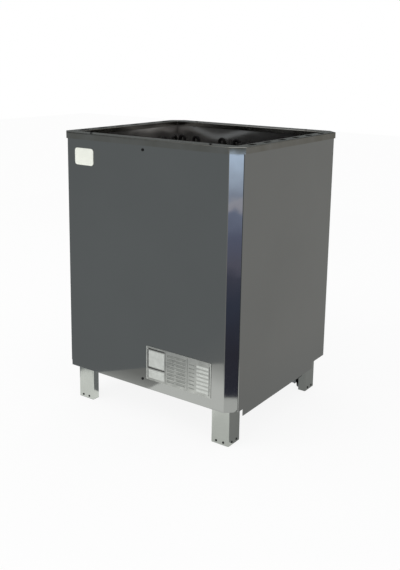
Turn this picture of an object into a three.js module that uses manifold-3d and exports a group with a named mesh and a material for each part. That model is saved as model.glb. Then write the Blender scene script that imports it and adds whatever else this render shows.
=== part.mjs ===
// Free-standing electric sauna heater: a stainless casing on four folded legs, open at the top,
// with a stone compartment, tubular heating elements and a wiring box inside.
// Millimetres, +Z up, front towards -Y, origin on the floor under the middle of the casing.
import * as THREE from 'three';
import { mergeVertices } from 'three/addons/utils/BufferGeometryUtils.js';
import Module from 'manifold-3d';

const wasm = await Module();
wasm.setup();

// Corners closer together than this are one corner
const weldTolerance = 1e-4;

// Casing
const casingWidth = 520;
const casingDepth = 480;
const totalHeight = 700;
const cornerChamfer = 25;
const sheet = 1.5;
const fit = 0.3;
const bendRadius = 4;
const bendSteps = 3;
const panelBottom = 95;
const returnFlange = 16;
const cornerClipWidth = 8;
const cornerClipHeight = 6;
const skirtDrop = 17;
const skirtFrontInset = 44;
const skirtRearInset = 90;

// Rim round the open top
const rimOverhang = 4;
const rimLip = 15;
const rimInnerLip = 12;
const rimSideBorder = 28;
const rimFrontBorder = 35;
const slotCount = 6;
const slotRowInset = 72.5;
const slotLength = 30;
const slotWidth = 12;
const slotInset = 13;
const rimScrewSideInset = 85;
const rimScrewInset = 18;

// Stone compartment
const linerFlangeInset = 60;
const linerLip = 36;
const ledgeWidth = 12;
const ledgeInset = 90;
const ledgeThickness = 2;
const grateLift = 86;
const grateThickness = 3;
const grateSlotWidth = 14;
const grateBar = 16;
const grateBorder = 22;

// Base tray and wiring box
const trayUnderside = 97;
const trayEdge = 35;
const trayEdgeInset = 60;
const inletCount = 5;
const inletRowInset = 108;
const inletLength = 46;
const inletWidth = 18;
const boxWidth = 300;
const boxDepth = 220;
const boxHeight = 61;
const boxLedge = 14;
const cableHole = 22;
const coverLap = 10;
const elementPlateThickness = 3;
const elementPlateLap = 5;

// Heating elements
const elementTopInset = 20;
const tubeDiameter = 8;
const tubeSides = 8;
const hairpinWidth = 16;
const hairpinPitch = 45;
const lowerBendLift = 30;
const arcSteps = 6;
const rowInset = 40;
const rowShift = -28.5;
const rowSpread = 63.5;
const sideInset = 33;
const sideShift = 14;
const grateTubeHole = 12;
const nippleDiameter = 12;
const nippleLength = 24;
const collarDiameter = 18;
const collarHeight = 7;
const clampNutSize = 19;
const clampNutHeight = 8;
const clampBarWidth = 14;
const clampBarThickness = 2;
const pinDiameter = 5;
const starPinLength = 16;
const livePinLength = 26;

// Links, terminal block and wires
const linkThickness = 2;
const linkWidth = 16;
const linkLift = 3;
const blockWidth = 24;
const blockLength = 60;
const blockHeight = 24;
const blockLift = 5.5;
const blockInset = 45;
const blockPoles = 3;
const polePitch = 18;
const poleRecess = 6;
const poleDiameter = 8;
const wireDiameter = 4;
const wireExitLift = 6;
const wireBend = 12;
const wireSides = 6;
const wireSteps = 14;
const earthStudDiameter = 6;
const earthStudLength = 16;

// Cable gland under the right side
const glandThread = 20;
const glandThreadLength = 12;
const glandHex = 25;
const glandHexLength = 9;
const glandNeck = 22;
const glandNeckLength = 8;
const glandNutDiameter = 27;
const glandNutLength = 27;
const glandNutStraight = 16;
const glandShoulder = 22;
const glandShoulderDiameter = 25;
const glandMouth = 19.5;
const glandBore = 14;
const glandInset = 15;
const glandHeight = 80.5;
const glandTabInset = 172;
const glandTabHalfWidth = 11;
const glandTabBelow = 16;

// Legs and levelling feet
const legInset = 25;
const legFace = 49;
const legReturn = 21;
const legSheet = 2;
const legFootLip = 10;
const legTopPlate = 3;
const legBoltDiameter = 8;
const legBoltLength = 22;
const legBoltHead = 13;
const legBoltHeadHeight = 6;
const weldNutSize = 15;
const weldNutHeight = 7;
const footPadDiameter = 26;
const footPadHeight = 8;
const footPadRecess = 1;
const footStemDiameter = 10;
const footStemLength = 44;
const footKeySize = 7;
const footKeyLength = 8;
const bracketThickness = 3;
const bracketTab = 2;
const bracketTabWidth = 32;
const bracketNutSize = 17;
const bracketNutHeight = 8;
const rivetDiameter = 3.6;
const rivetHead = 6;
const rivetHeadHeight = 0.8;
const rivetSpacing = 20;
const rivetLift = 7;

// Plates and screws on the casing
const plateWidth = 188;
const plateHeight = 85;
const plateThickness = 0.8;
const plateInset = 60;
const plateRise = 25.5;
const plateRivetInset = 5;
const plateRivetDiameter = 5;
const plateRivetHeight = 0.8;
const badgeWidth = 59;
const badgeHeight = 41;
const badgeRadius = 7;
const badgeThickness = 1.2;
const badgeInset = 49;
const badgeDrop = 36;
const screwDiameter = 4;
const screwLength = 9;
const screwHead = 7;
const screwHeadHeight = 1.6;
const screwCrown = 5;
const upperScrewInset = 25;
const lowerScrewInset = 22;
const coverScrewInset = 8;

// Places that several pieces share
const halfWidth = casingWidth / 2;
const halfDepth = casingDepth / 2;
const panelTop = totalHeight - sheet - fit;
const upperScrewLift = totalHeight - upperScrewInset;
const lowerScrewLift = panelBottom + lowerScrewInset;
const rimOpeningWidth = casingWidth - 2 * rimSideBorder;
const rimOpeningDepth = casingDepth - 2 * rimFrontBorder;
const innerHalfWidth = halfWidth - sheet - fit;
const innerHalfDepth = halfDepth - sheet - fit;
const linerHalfWidth = rimOpeningWidth / 2 + sheet + fit;
const linerHalfDepth = rimOpeningDepth / 2 + sheet + fit;
const rimScrewReach = halfWidth - rimScrewSideInset;
const rimScrewLine = halfDepth - rimScrewInset;
const slotPitch = 2 * (halfDepth - slotRowInset) / (slotCount - 1);
const inletPitch = 2 * (halfDepth - inletRowInset) / (inletCount - 1);
const trayTop = trayUnderside + sheet;
const grateBottom = trayTop + grateLift;
const grateTop = grateBottom + grateThickness;
const boxBottom = trayTop + fit;
const boxTop = boxBottom + boxHeight;
const boxInnerHalfWidth = boxWidth / 2 - sheet;
const boxInnerHalfDepth = boxDepth / 2 - sheet;
const boxOpeningHalfWidth = boxInnerHalfWidth - boxLedge;
const boxOpeningHalfDepth = boxInnerHalfDepth - boxLedge;
const elementPlateBottom = boxTop + fit;
const elementPlateTop = elementPlateBottom + elementPlateThickness;
const elementTop = totalHeight - elementTopInset;
const rowReach = boxDepth / 2 - rowInset;
const sideReach = boxWidth / 2 - sideInset;
const elementReach = (hairpinPitch + hairpinWidth) / 2;
const nippleBottom = elementPlateTop - nippleLength;
const starLinkTop = nippleBottom - linkLift;
const liveLinkTop = nippleBottom - starPinLength - linkLift;
const coverTop = trayUnderside - fit;
const coverScrewLine = boxOpeningHalfDepth + coverScrewInset;
const legCentreX = halfWidth - legInset - legFace / 2;
const legCentreY = halfDepth - legInset - legFace / 2;
const legTop = trayUnderside - fit;
const bracketBottom = footPadRecess + footPadHeight + fit;
const bracketTop = bracketBottom + bracketThickness;
const frontSkin = -halfDepth - fit;
const glandSide = halfWidth - glandInset;
const glandTabFace = halfDepth - glandTabInset;

// Solids: welding, joining and cutting
function weld(geometry) {
  const bare = geometry.index ? geometry.toNonIndexed() : geometry.clone();
  bare.deleteAttribute('normal');
  bare.deleteAttribute('uv');
  const merged = mergeVertices(bare, weldTolerance);
  const corners = merged.index.array;
  const kept = [];
  for (let i = 0; i < corners.length; i += 3) {
    const [a, b, c] = [corners[i], corners[i + 1], corners[i + 2]];
    if (a !== b && b !== c && c !== a) {
      kept.push(a, b, c);
    }
  }
  merged.setIndex(kept);
  return merged;
}

function solidOf(geometry) {
  const welded = weld(geometry);
  const mesh = new wasm.Mesh({
    numProp: 3,
    vertProperties: new Float32Array(welded.attributes.position.array),
    triVerts: new Uint32Array(welded.index.array),
  });
  return new wasm.Manifold(mesh);
}

function geometryOf(solid) {
  const mesh = solid.getMesh();
  const geometry = new THREE.BufferGeometry();
  const positions = new Float32Array(mesh.vertProperties);
  geometry.setAttribute('position', new THREE.BufferAttribute(positions, 3));
  geometry.setIndex(new THREE.BufferAttribute(new Uint32Array(mesh.triVerts), 1));
  return geometry;
}

function join(...geometries) {
  return geometryOf(geometries.map(solidOf).reduce((whole, next) => whole.add(next)));
}

function cut(body, ...tools) {
  return geometryOf(tools.map(solidOf).reduce((rest, tool) => rest.subtract(tool), solidOf(body)));
}

// Shapes: blocks, plates, folded sheets, turned and swept pieces
function block(x0, x1, y0, y1, z0, z1) {
  const geometry = new THREE.BoxGeometry(x1 - x0, y1 - y0, z1 - z0);
  return geometry.translate((x0 + x1) / 2, (y0 + y1) / 2, (z0 + z1) / 2);
}

function point(x, y) {
  return new THREE.Vector2(x, y);
}

function slab(outline, z0, z1) {
  const shape = new THREE.Shape(outline);
  const geometry = new THREE.ExtrudeGeometry(shape, { depth: z1 - z0, bevelEnabled: false });
  return geometry.translate(0, 0, z0);
}

function plate(outline, z0, z1, holes = []) {
  const drills = holes.map((opening) => slab(opening, z0 - sheet, z1 + sheet));
  return drills.length > 0 ? cut(slab(outline, z0, z1), ...drills) : slab(outline, z0, z1);
}

function rectangle(halfX, halfY, centreX = 0, centreY = 0) {
  return [
    point(centreX - halfX, centreY - halfY),
    point(centreX + halfX, centreY - halfY),
    point(centreX + halfX, centreY + halfY),
    point(centreX - halfX, centreY + halfY),
  ];
}

function octagon(halfX, halfY, diagonal) {
  const x = diagonal - halfY;
  const y = diagonal - halfX;
  return [
    point(-x, -halfY), point(x, -halfY), point(halfX, -y), point(halfX, y),
    point(x, halfY), point(-x, halfY), point(-halfX, y), point(-halfX, -y),
  ];
}

// The casing's plan, moved outwards by a distance
function casingPlan(distance) {
  const diagonal = halfWidth + halfDepth - cornerChamfer + distance * Math.SQRT2;
  return octagon(halfWidth + distance, halfDepth + distance, diagonal);
}

function roundEnded(from, to, width, steps = 4) {
  const along = to.clone().sub(from).angle();
  const outline = [];
  for (const [end, start] of [[to, along - Math.PI / 2], [from, along + Math.PI / 2]]) {
    for (let i = 0; i <= steps; i += 1) {
      const angle = start + Math.PI * i / steps;
      outline.push(point(end.x + Math.cos(angle) * width / 2, end.y + Math.sin(angle) * width / 2));
    }
  }
  return outline;
}

function roundCornered(width, height, radius, steps = 5) {
  const outline = [];
  const centres = [[1, 1], [-1, 1], [-1, -1], [1, -1]];
  centres.forEach(([sideX, sideY], corner) => {
    for (let i = 0; i <= steps; i += 1) {
      const angle = (corner + i / steps) * Math.PI / 2;
      const x = sideX * (width / 2 - radius) + Math.cos(angle) * radius;
      const y = sideY * (height / 2 - radius) + Math.sin(angle) * radius;
      outline.push(point(x, y));
    }
  });
  return outline;
}

function leftNormal(from, to) {
  const along = to.clone().sub(from).normalize();
  return point(-along.y, along.x);
}

function offsetLine(line, distance) {
  const last = line.length - 1;
  return line.map((corner, i) => {
    const before = i > 0 ? leftNormal(line[i - 1], corner) : leftNormal(corner, line[1]);
    const after = i < last ? leftNormal(corner, line[i + 1]) : before;
    const mitre = before.clone().add(after).normalize();
    return corner.clone().addScaledVector(mitre, distance / mitre.dot(before));
  });
}

// Replaces each inner corner of an open line by a short arc, as a folded sheet has
function withBends(line) {
  const bent = [line[0]];
  for (let i = 1; i < line.length - 1; i += 1) {
    const inward = line[i - 1].clone().sub(line[i]).normalize();
    const outward = line[i + 1].clone().sub(line[i]).normalize();
    const half = Math.acos(inward.dot(outward)) / 2;
    const reach = bendRadius / Math.tan(half);
    const start = line[i].clone().addScaledVector(inward, reach);
    const end = line[i].clone().addScaledVector(outward, reach);
    const curve = new THREE.QuadraticBezierCurve(start, line[i], end);
    bent.push(...curve.getPoints(bendSteps));
  }
  bent.push(line[line.length - 1]);
  return bent;
}

function foldedSheet(line, thickness, z0, z1) {
  return plate([...line, ...offsetLine(line, thickness).reverse()], z0, z1);
}

function ring(outline, opening, z0, z1) {
  return plate(outline, z0, z1, [opening]);
}

function rod(diameter, z0, z1, sides = 10) {
  const geometry = new THREE.CylinderGeometry(diameter / 2, diameter / 2, z1 - z0, sides);
  return geometry.rotateX(Math.PI / 2).translate(0, 0, (z0 + z1) / 2);
}

function hexagon(acrossFlats, z0, z1) {
  return rod(acrossFlats / Math.cos(Math.PI / 6), z0, z1, 6);
}

// A piece turned about Z from [radius, height] pairs that start and end on the axis
function turned(profile, sides = 10) {
  const line = profile.map(([radius, height]) => point(radius, height));
  return new THREE.LatheGeometry(line, sides).rotateX(Math.PI / 2);
}

function pointingForward(geometry) {
  return geometry.rotateX(Math.PI / 2);
}

function pointingBack(geometry) {
  return geometry.rotateX(-Math.PI / 2);
}

function pointingRight(geometry) {
  return geometry.rotateY(Math.PI / 2);
}

// A route through given points, with one section at each of them
class PointRoute extends THREE.Curve {
  constructor(points) {
    super();
    this.points = points;
  }

  getPoint(t) {
    const place = t * (this.points.length - 1);
    const from = Math.min(Math.floor(place), this.points.length - 2);
    return this.points[from].clone().lerp(this.points[from + 1], place - from);
  }

  getTangent(t) {
    const at = Math.round(t * (this.points.length - 1));
    const ahead = this.points[Math.min(at + 1, this.points.length - 1)];
    const behind = this.points[Math.max(at - 1, 0)];
    return ahead.clone().sub(behind).normalize();
  }

  getUtoTmapping(u) {
    return u;
  }
}

function circle(diameter, sides) {
  const outline = [];
  for (let i = 0; i < sides; i += 1) {
    const angle = 2 * Math.PI * i / sides;
    outline.push(point(Math.cos(angle) * diameter / 2, Math.sin(angle) * diameter / 2));
  }
  return outline;
}

function hole(x, y, diameter, sides = 8) {
  return circle(diameter, sides).map((corner) => corner.add(point(x, y)));
}

function swept(route, steps, diameter, sides) {
  const shape = new THREE.Shape(circle(diameter, sides));
  return new THREE.ExtrudeGeometry(shape, { steps, extrudePath: route, bevelEnabled: false });
}

// Finishes
const finishes = {
  polished: { color: 0x9a9c9a, roughness: 0.18, metalness: 1 },
  brushed: { color: 0xb4b6b2, roughness: 0.35, metalness: 1 },
  liner: { color: 0x6f6f72, roughness: 0.2, metalness: 1 },
  element: { color: 0x2b2928, roughness: 0.5, metalness: 0.8 },
  zinc: { color: 0x8f9294, roughness: 0.4, metalness: 1 },
  copper: { color: 0xb5793f, roughness: 0.35, metalness: 1 },
  ceramic: { color: 0xe9e4d8, roughness: 0.6, metalness: 0 },
  plastic: { color: 0x17181a, roughness: 0.55, metalness: 0 },
  sleeve: { color: 0x8a4a3a, roughness: 0.8, metalness: 0 },
  badge: { color: 0xe2e4d8, roughness: 0.35, metalness: 0 },
};

const heater = new THREE.Group();

function place(name, geometry, finish, parent = heater) {
  const mesh = new THREE.Mesh(geometry, new THREE.MeshStandardMaterial(finishes[finish]));
  mesh.name = name;
  parent.add(mesh);
  return mesh;
}

// Casing panels
function frontPanel() {
  const flat = halfWidth - cornerChamfer;
  const turn = -halfDepth + innerHalfWidth - flat;
  const line = withBends([
    point(-innerHalfWidth, turn + returnFlange), point(-innerHalfWidth, turn),
    point(-flat, -halfDepth), point(flat, -halfDepth),
    point(innerHalfWidth, turn), point(innerHalfWidth, turn + returnFlange),
  ]);
  const panel = foldedSheet(line, sheet, panelBottom, panelTop);
  const holes = [upperScrewLift, lowerScrewLift].map(screwHoleThroughFront);
  return cut(panel, ...holes, cornerClip(turn, 1), cornerClip(turn, -1));
}

function screwHoleThroughFront(lift) {
  const tool = pointingForward(rod(screwDiameter + 2 * fit, -screwLength, screwLength));
  return tool.translate(0, -halfDepth, lift);
}

// Takes off the lower outer corner of a chamfer, with the end of its flange
function cornerClip(turn, side) {
  const reach = returnFlange + sheet;
  const outline = [
    point(-cornerClipWidth, panelBottom - fit), point(reach, panelBottom - fit),
    point(reach, panelBottom + cornerClipHeight), point(0, panelBottom + cornerClipHeight),
  ];
  const wedge = plate(outline, -reach, reach).rotateX(Math.PI / 2);
  wedge.rotateZ(side > 0 ? Math.PI / 4 : 3 * Math.PI / 4);
  return wedge.translate(side * innerHalfWidth, turn, 0);
}

function sidePanel() {
  const end = halfDepth - cornerChamfer;
  const skirtBottom = panelBottom - skirtDrop;
  const skirtFront = -halfDepth + skirtFrontInset;
  const skirtRear = halfDepth - skirtRearInset;
  const outline = [
    point(-end, panelBottom), point(skirtFront, panelBottom), point(skirtFront, skirtBottom),
    point(skirtRear, skirtBottom), point(skirtRear, panelBottom), point(end, panelBottom),
    point(end, panelTop), point(-end, panelTop),
  ];
  const upright = new THREE.Matrix4().makeBasis(
    new THREE.Vector3(0, 1, 0), new THREE.Vector3(0, 0, 1), new THREE.Vector3(1, 0, 0),
  );
  return plate(outline, -sheet / 2, sheet / 2).applyMatrix4(upright);
}

function placePanels() {
  place('front_panel', frontPanel(), 'polished');
  place('back_panel', frontPanel(), 'polished').rotation.z = Math.PI;
  place('right_side_panel', sidePanel(), 'polished').position.x = halfWidth - sheet / 2;
  place('left_side_panel', sidePanel(), 'polished').position.x = -halfWidth + sheet / 2;
}

// Rim with its air slots
function rimSlots() {
  const slots = [];
  for (const side of [-1, 1]) {
    for (let i = 0; i < slotCount; i += 1) {
      const y = (i - (slotCount - 1) / 2) * slotPitch;
      const x = side * (halfWidth - slotInset);
      const straight = (slotLength - slotWidth) / 2;
      slots.push(roundEnded(point(x, y - straight), point(x, y + straight), slotWidth));
    }
  }
  return slots;
}

function rimScrewPlaces() {
  const places = [];
  for (const y of [-rimScrewLine, rimScrewLine]) {
    for (const x of [-rimScrewReach, rimScrewReach]) {
      places.push(point(x, y));
    }
  }
  return places;
}

function rimScrewHoles() {
  return rimScrewPlaces().map(({ x, y }) => hole(x, y, screwDiameter + 2 * fit));
}

function topRim() {
  const opening = rectangle(rimOpeningWidth / 2, rimOpeningDepth / 2);
  const openingSkin = rectangle(rimOpeningWidth / 2 + sheet, rimOpeningDepth / 2 + sheet);
  const holes = [opening, ...rimSlots(), ...rimScrewHoles()];
  const flange = plate(casingPlan(rimOverhang), totalHeight - sheet, totalHeight, holes);
  const outside = casingPlan(rimOverhang);
  const lip = ring(outside, casingPlan(rimOverhang - sheet), totalHeight - rimLip, totalHeight);
  const innerLip = ring(openingSkin, opening, totalHeight - rimInnerLip, totalHeight);
  return join(flange, lip, innerLip);
}

// Liner of the stone compartment, with the ledges that carry the grate
function linerFlange(side) {
  const inside = linerHalfDepth + sheet / 2;
  const reach = halfWidth - linerFlangeInset;
  const flange = plate(
    rectangle(reach, (innerHalfDepth - inside) / 2, 0, side * (innerHalfDepth + inside) / 2),
    panelTop - sheet, panelTop,
    rimScrewHoles().filter((outline) => outline[0].y * side > 0),
  );
  const edges = [side * innerHalfDepth, side * (innerHalfDepth - sheet)].sort((a, b) => a - b);
  const lip = block(-reach, reach, edges[0], edges[1], panelTop - linerLip, panelTop);
  const drill = pointingForward(rod(screwDiameter + 2 * fit, -sheet * 2, sheet * 2));
  return cut(join(flange, lip), drill.translate(0, side * (innerHalfDepth - sheet / 2), upperScrewLift));
}

function stoneLiner() {
  const inside = rectangle(linerHalfWidth, linerHalfDepth);
  const outside = rectangle(linerHalfWidth + sheet, linerHalfDepth + sheet);
  const walls = ring(outside, inside, trayTop + fit, panelTop);
  const ledgeTop = grateBottom - fit;
  const ledges = [-1, 1].map((side) => {
    const edges = [side * (linerHalfWidth + sheet / 2), side * (linerHalfWidth - ledgeWidth)];
    edges.sort((a, b) => a - b);
    const half = halfDepth - ledgeInset;
    return block(edges[0], edges[1], -half, half, ledgeTop - ledgeThickness, ledgeTop);
  });
  return join(walls, ...ledges, linerFlange(-1), linerFlange(1));
}

// Heating element places: centre and turn of each, with its star end on the +X side before the turn
function elementSites() {
  const sites = [];
  for (const y of [rowReach, -rowReach]) {
    sites.push({ x: rowShift - rowSpread, y, turn: 0 });
    sites.push({ x: rowShift + rowSpread, y, turn: Math.PI });
  }
  for (const x of [-sideReach, sideReach]) {
    sites.push({ x, y: sideShift, turn: -Math.PI / 2 });
  }
  return sites;
}

function elementEnd(site, side) {
  const reach = side * elementReach;
  return point(site.x + Math.cos(site.turn) * reach, site.y + Math.sin(site.turn) * reach);
}

function allElementEnds() {
  return elementSites().flatMap((site) => [elementEnd(site, 1), elementEnd(site, -1)]);
}

// Grate: long air slots between bars, left out where a tube passes
function grateSlots() {
  const slots = [];
  const reachX = linerHalfWidth - fit - grateBorder;
  const reachY = linerHalfDepth - fit - grateBorder;
  const pitch = grateSlotWidth + grateBar;
  const columns = Math.floor(reachX / pitch);
  const ends = allElementEnds();
  for (let i = -columns; i <= columns; i += 1) {
    const x = i * pitch;
    const clear = (grateSlotWidth + grateTubeHole) / 2 + grateBar / 4;
    const tubes = ends.filter((end) => Math.abs(end.x - x) < clear).map((end) => end.y);
    const stops = [-reachY, ...tubes.sort((a, b) => a - b), reachY];
    for (let k = 0; k + 1 < stops.length; k += 1) {
      const from = stops[k] + (k > 0 ? grateTubeHole : 0);
      const to = stops[k + 1] - (k + 2 < stops.length ? grateTubeHole : 0);
      if (to - from > 2 * grateSlotWidth) {
        slots.push(rectangle(grateSlotWidth / 2, (to - from) / 2, x, (from + to) / 2));
      }
    }
  }
  return slots;
}

function stoneGrate() {
  const outline = rectangle(linerHalfWidth - fit, linerHalfDepth - fit);
  const tubeHoles = allElementEnds().map(({ x, y }) => hole(x, y, grateTubeHole));
  return plate(outline, grateBottom, grateTop, [...grateSlots(), ...tubeHoles]);
}

// Base tray: floor with air inlets, upturned edges, weld nuts for the legs and the gland tab
function legPlaces() {
  return [
    { name: 'front_right', x: legCentreX, y: -legCentreY, turn: 0 },
    { name: 'back_right', x: legCentreX, y: legCentreY, turn: Math.PI / 2 },
    { name: 'back_left', x: -legCentreX, y: legCentreY, turn: Math.PI },
    { name: 'front_left', x: -legCentreX, y: -legCentreY, turn: -Math.PI / 2 },
  ];
}

function airInlets() {
  const inlets = [];
  const middle = (boxWidth / 2 + linerHalfWidth) / 2;
  for (const side of [-1, 1]) {
    for (let i = 0; i < inletCount; i += 1) {
      const y = (i - (inletCount - 1) / 2) * inletPitch;
      inlets.push(rectangle(inletLength / 2, inletWidth / 2, side * middle, y));
    }
  }
  return inlets;
}

function trayFloor() {
  const flangeSkin = innerHalfWidth - sheet - fit;
  const chamferSkin = halfWidth + halfDepth - cornerChamfer - (sheet + fit) * Math.SQRT2;
  const outline = octagon(flangeSkin, innerHalfDepth, chamferSkin - fit);
  const boltHole = legBoltDiameter + 2 * fit;
  const holes = [
    rectangle(boxOpeningHalfWidth, boxOpeningHalfDepth),
    ...airInlets(),
    ...legPlaces().map(({ x, y }) => hole(x, y, boltHole)),
    hole(0, -coverScrewLine, screwDiameter + 2 * fit),
  ];
  return plate(outline, trayUnderside, trayTop, holes);
}

function trayEdges() {
  const top = trayUnderside + trayEdge;
  const sideSkin = innerHalfWidth - sheet - fit;
  const frontReach = halfWidth - trayEdgeInset;
  const sideEdgeReach = halfDepth - trayEdgeInset;
  const edges = [];
  for (const side of [-1, 1]) {
    const y = [side * innerHalfDepth, side * (innerHalfDepth - sheet)].sort((a, b) => a - b);
    const x = [side * sideSkin, side * (sideSkin - sheet)].sort((a, b) => a - b);
    const front = block(-frontReach, frontReach, y[0], y[1], trayUnderside, top);
    const drill = pointingForward(rod(screwDiameter + 2 * fit, -sheet * 2, sheet * 2));
    edges.push(cut(front, drill.translate(0, side * (innerHalfDepth - sheet / 2), lowerScrewLift)));
    edges.push(block(x[0], x[1], -sideEdgeReach, sideEdgeReach, trayUnderside, top));
  }
  return edges;
}

function weldNut(x, y) {
  const nut = hexagon(weldNutSize, trayTop - sheet / 2, trayTop + weldNutHeight);
  const bore = rod(legBoltDiameter + 2 * fit, trayUnderside, trayTop + 2 * weldNutHeight, 8);
  return cut(nut, bore).translate(x, y, 0);
}

function glandTab() {
  const left = glandSide - glandTabHalfWidth - fit;
  const right = innerHalfWidth - sheet - fit;
  const bottom = glandHeight - glandTabBelow;
  const tab = block(left, right, glandTabFace - sheet, glandTabFace, bottom, trayTop);
  const drill = pointingBack(rod(glandThread + 2 * fit, -sheet * 3, sheet * 3, 12));
  return cut(tab, drill.translate(glandSide, glandTabFace - sheet / 2, glandHeight));
}

function baseTray() {
  const nuts = legPlaces().map(({ x, y }) => weldNut(x, y));
  return join(trayFloor(), ...trayEdges(), ...nuts, glandTab());
}

// Wiring box, its welded earth stud and its cover
function terminalBox() {
  const outside = rectangle(boxWidth / 2, boxDepth / 2);
  const inside = rectangle(boxInnerHalfWidth, boxInnerHalfDepth);
  const walls = ring(outside, inside, boxBottom, boxTop);
  const middle = (boxBottom + boxTop) / 2;
  const drill = pointingRight(rod(cableHole, -sheet * 2, sheet * 2)).translate(boxWidth / 2, 0, middle);
  const stud = pointingRight(rod(earthStudDiameter, -sheet / 2, earthStudLength));
  stud.translate(-boxInnerHalfWidth, 0, middle);
  return join(cut(walls, drill), stud);
}

function terminalCover() {
  const outline = rectangle(boxWidth / 2 + coverLap, boxDepth / 2 + coverLap);
  const screwHole = hole(0, -coverScrewLine, screwDiameter + 2 * fit);
  return plate(outline, coverTop - sheet, coverTop, [screwHole]);
}

function elementPlate() {
  const outline = rectangle(boxWidth / 2 + elementPlateLap, boxDepth / 2 + elementPlateLap);
  const holes = allElementEnds().map(({ x, y }) => hole(x, y, nippleDiameter + 2 * fit));
  return plate(outline, elementPlateBottom, elementPlateTop, holes);
}

// Heating element: one tube bent into two tall hairpins, with a threaded nipple at each end
function arcPoints(centreX, centreZ, radius, fromAngle, toAngle) {
  const points = [];
  for (let i = 0; i <= arcSteps; i += 1) {
    const angle = fromAngle + (toAngle - fromAngle) * i / arcSteps;
    const x = centreX + Math.cos(angle) * radius;
    points.push(new THREE.Vector3(x, 0, centreZ + Math.sin(angle) * radius));
  }
  return points;
}

function elementRoute() {
  const upper = elementTop - tubeDiameter / 2 - hairpinWidth / 2;
  const lowerRadius = (hairpinPitch - hairpinWidth) / 2;
  const lower = grateTop + lowerBendLift + lowerRadius;
  const start = nippleBottom + sheet;
  return new PointRoute([
    new THREE.Vector3(-elementReach, 0, start),
    ...arcPoints(-hairpinPitch / 2, upper, hairpinWidth / 2, Math.PI, 0),
    ...arcPoints(0, lower, lowerRadius, Math.PI, 2 * Math.PI),
    ...arcPoints(hairpinPitch / 2, upper, hairpinWidth / 2, Math.PI, 0),
    new THREE.Vector3(elementReach, 0, start),
  ]);
}

function elementFoot(x, pinLength) {
  const collarBottom = elementPlateTop + fit;
  return [
    rod(nippleDiameter, nippleBottom, collarBottom + collarHeight / 2, 8).translate(x, 0, 0),
    hexagon(collarDiameter, collarBottom, collarBottom + collarHeight).translate(x, 0, 0),
    rod(pinDiameter, nippleBottom - pinLength, nippleBottom + sheet, 6).translate(x, 0, 0),
  ];
}

function heatingElement() {
  const route = elementRoute();
  const tube = swept(route, route.points.length - 1, tubeDiameter, tubeSides);
  const starFoot = elementFoot(elementReach, starPinLength);
  const liveFoot = elementFoot(-elementReach, livePinLength);
  return join(tube, ...starFoot, ...liveFoot);
}

// Clamp under the element plate: a bar with a nut at each nipple
function elementClamp() {
  const top = elementPlateBottom - fit;
  const barOutline = roundEnded(point(-elementReach, 0), point(elementReach, 0), clampBarWidth);
  const nuts = [-1, 1].map((side) => {
    const nut = hexagon(clampNutSize, top - clampNutHeight, top);
    return nut.translate(side * elementReach, 0, 0);
  });
  const bores = [-1, 1].map((side) => {
    const bore = rod(nippleDiameter + 2 * fit, top - 2 * clampNutHeight, top + clampNutHeight, 8);
    return bore.translate(side * elementReach, 0, 0);
  });
  return cut(join(plate(barOutline, top - clampBarThickness, top), ...nuts), ...bores);
}

function placeElements() {
  elementSites().forEach((site, i) => {
    const stand = new THREE.Group();
    stand.position.set(site.x, site.y, 0);
    stand.rotation.z = site.turn;
    heater.add(stand);
    place(`heating_element_${i + 1}`, heatingElement(), 'element', stand);
    place(`element_clamp_${i + 1}`, elementClamp(), 'zinc', stand);
  });
}

// Bare metal links: one joins the star ends of all the elements, three share the phases
function starLink() {
  const ends = elementSites().map((site) => elementEnd(site, 1));
  const bars = [
    roundEnded(point(rowShift, ends[0].y), point(rowShift, ends[2].y), linkWidth),
    roundEnded(ends[0], ends[1], linkWidth),
    roundEnded(ends[2], ends[3], linkWidth),
    roundEnded(ends[4], ends[5], linkWidth),
  ].map((outline) => plate(outline, starLinkTop - linkThickness, starLinkTop));
  const drills = ends.map(({ x, y }) => linkDrill(x, y, starLinkTop));
  return cut(join(...bars), ...drills);
}

function linkDrill(x, y, top) {
  return rod(pinDiameter + 2 * fit, top - 2 * linkThickness, top + linkThickness, 8).translate(x, y, 0);
}

function liveLink(from, to) {
  const bar = plate(roundEnded(from, to, linkWidth), liveLinkTop - linkThickness, liveLinkTop);
  return cut(bar, linkDrill(from.x, from.y, liveLinkTop), linkDrill(to.x, to.y, liveLinkTop));
}

function phasePairs() {
  const ends = elementSites().map((site) => elementEnd(site, -1));
  return [[ends[0], ends[4]], [ends[1], ends[5]], [ends[2], ends[3]]];
}

// Terminal block on the right wall of the box, and the wires from it to the links
const blockFace = boxInnerHalfWidth - fit - blockWidth;
const blockBottom = trayTop + blockLift;
const blockCentreY = blockInset - boxDepth / 2;

function terminalBlock() {
  const y0 = blockCentreY - blockLength / 2;
  const top = blockBottom + blockHeight;
  const body = block(blockFace, blockFace + blockWidth, y0, y0 + blockLength, blockBottom, top);
  const wells = [];
  for (let i = 0; i < blockPoles; i += 1) {
    const well = rod(poleDiameter, top - poleRecess, top + poleRecess);
    wells.push(well.translate(blockFace + blockWidth / 2, poleY(i), 0));
  }
  return cut(body, ...wells);
}

function poleY(pole) {
  return blockCentreY + (pole - (blockPoles - 1) / 2) * polePitch;
}

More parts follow.
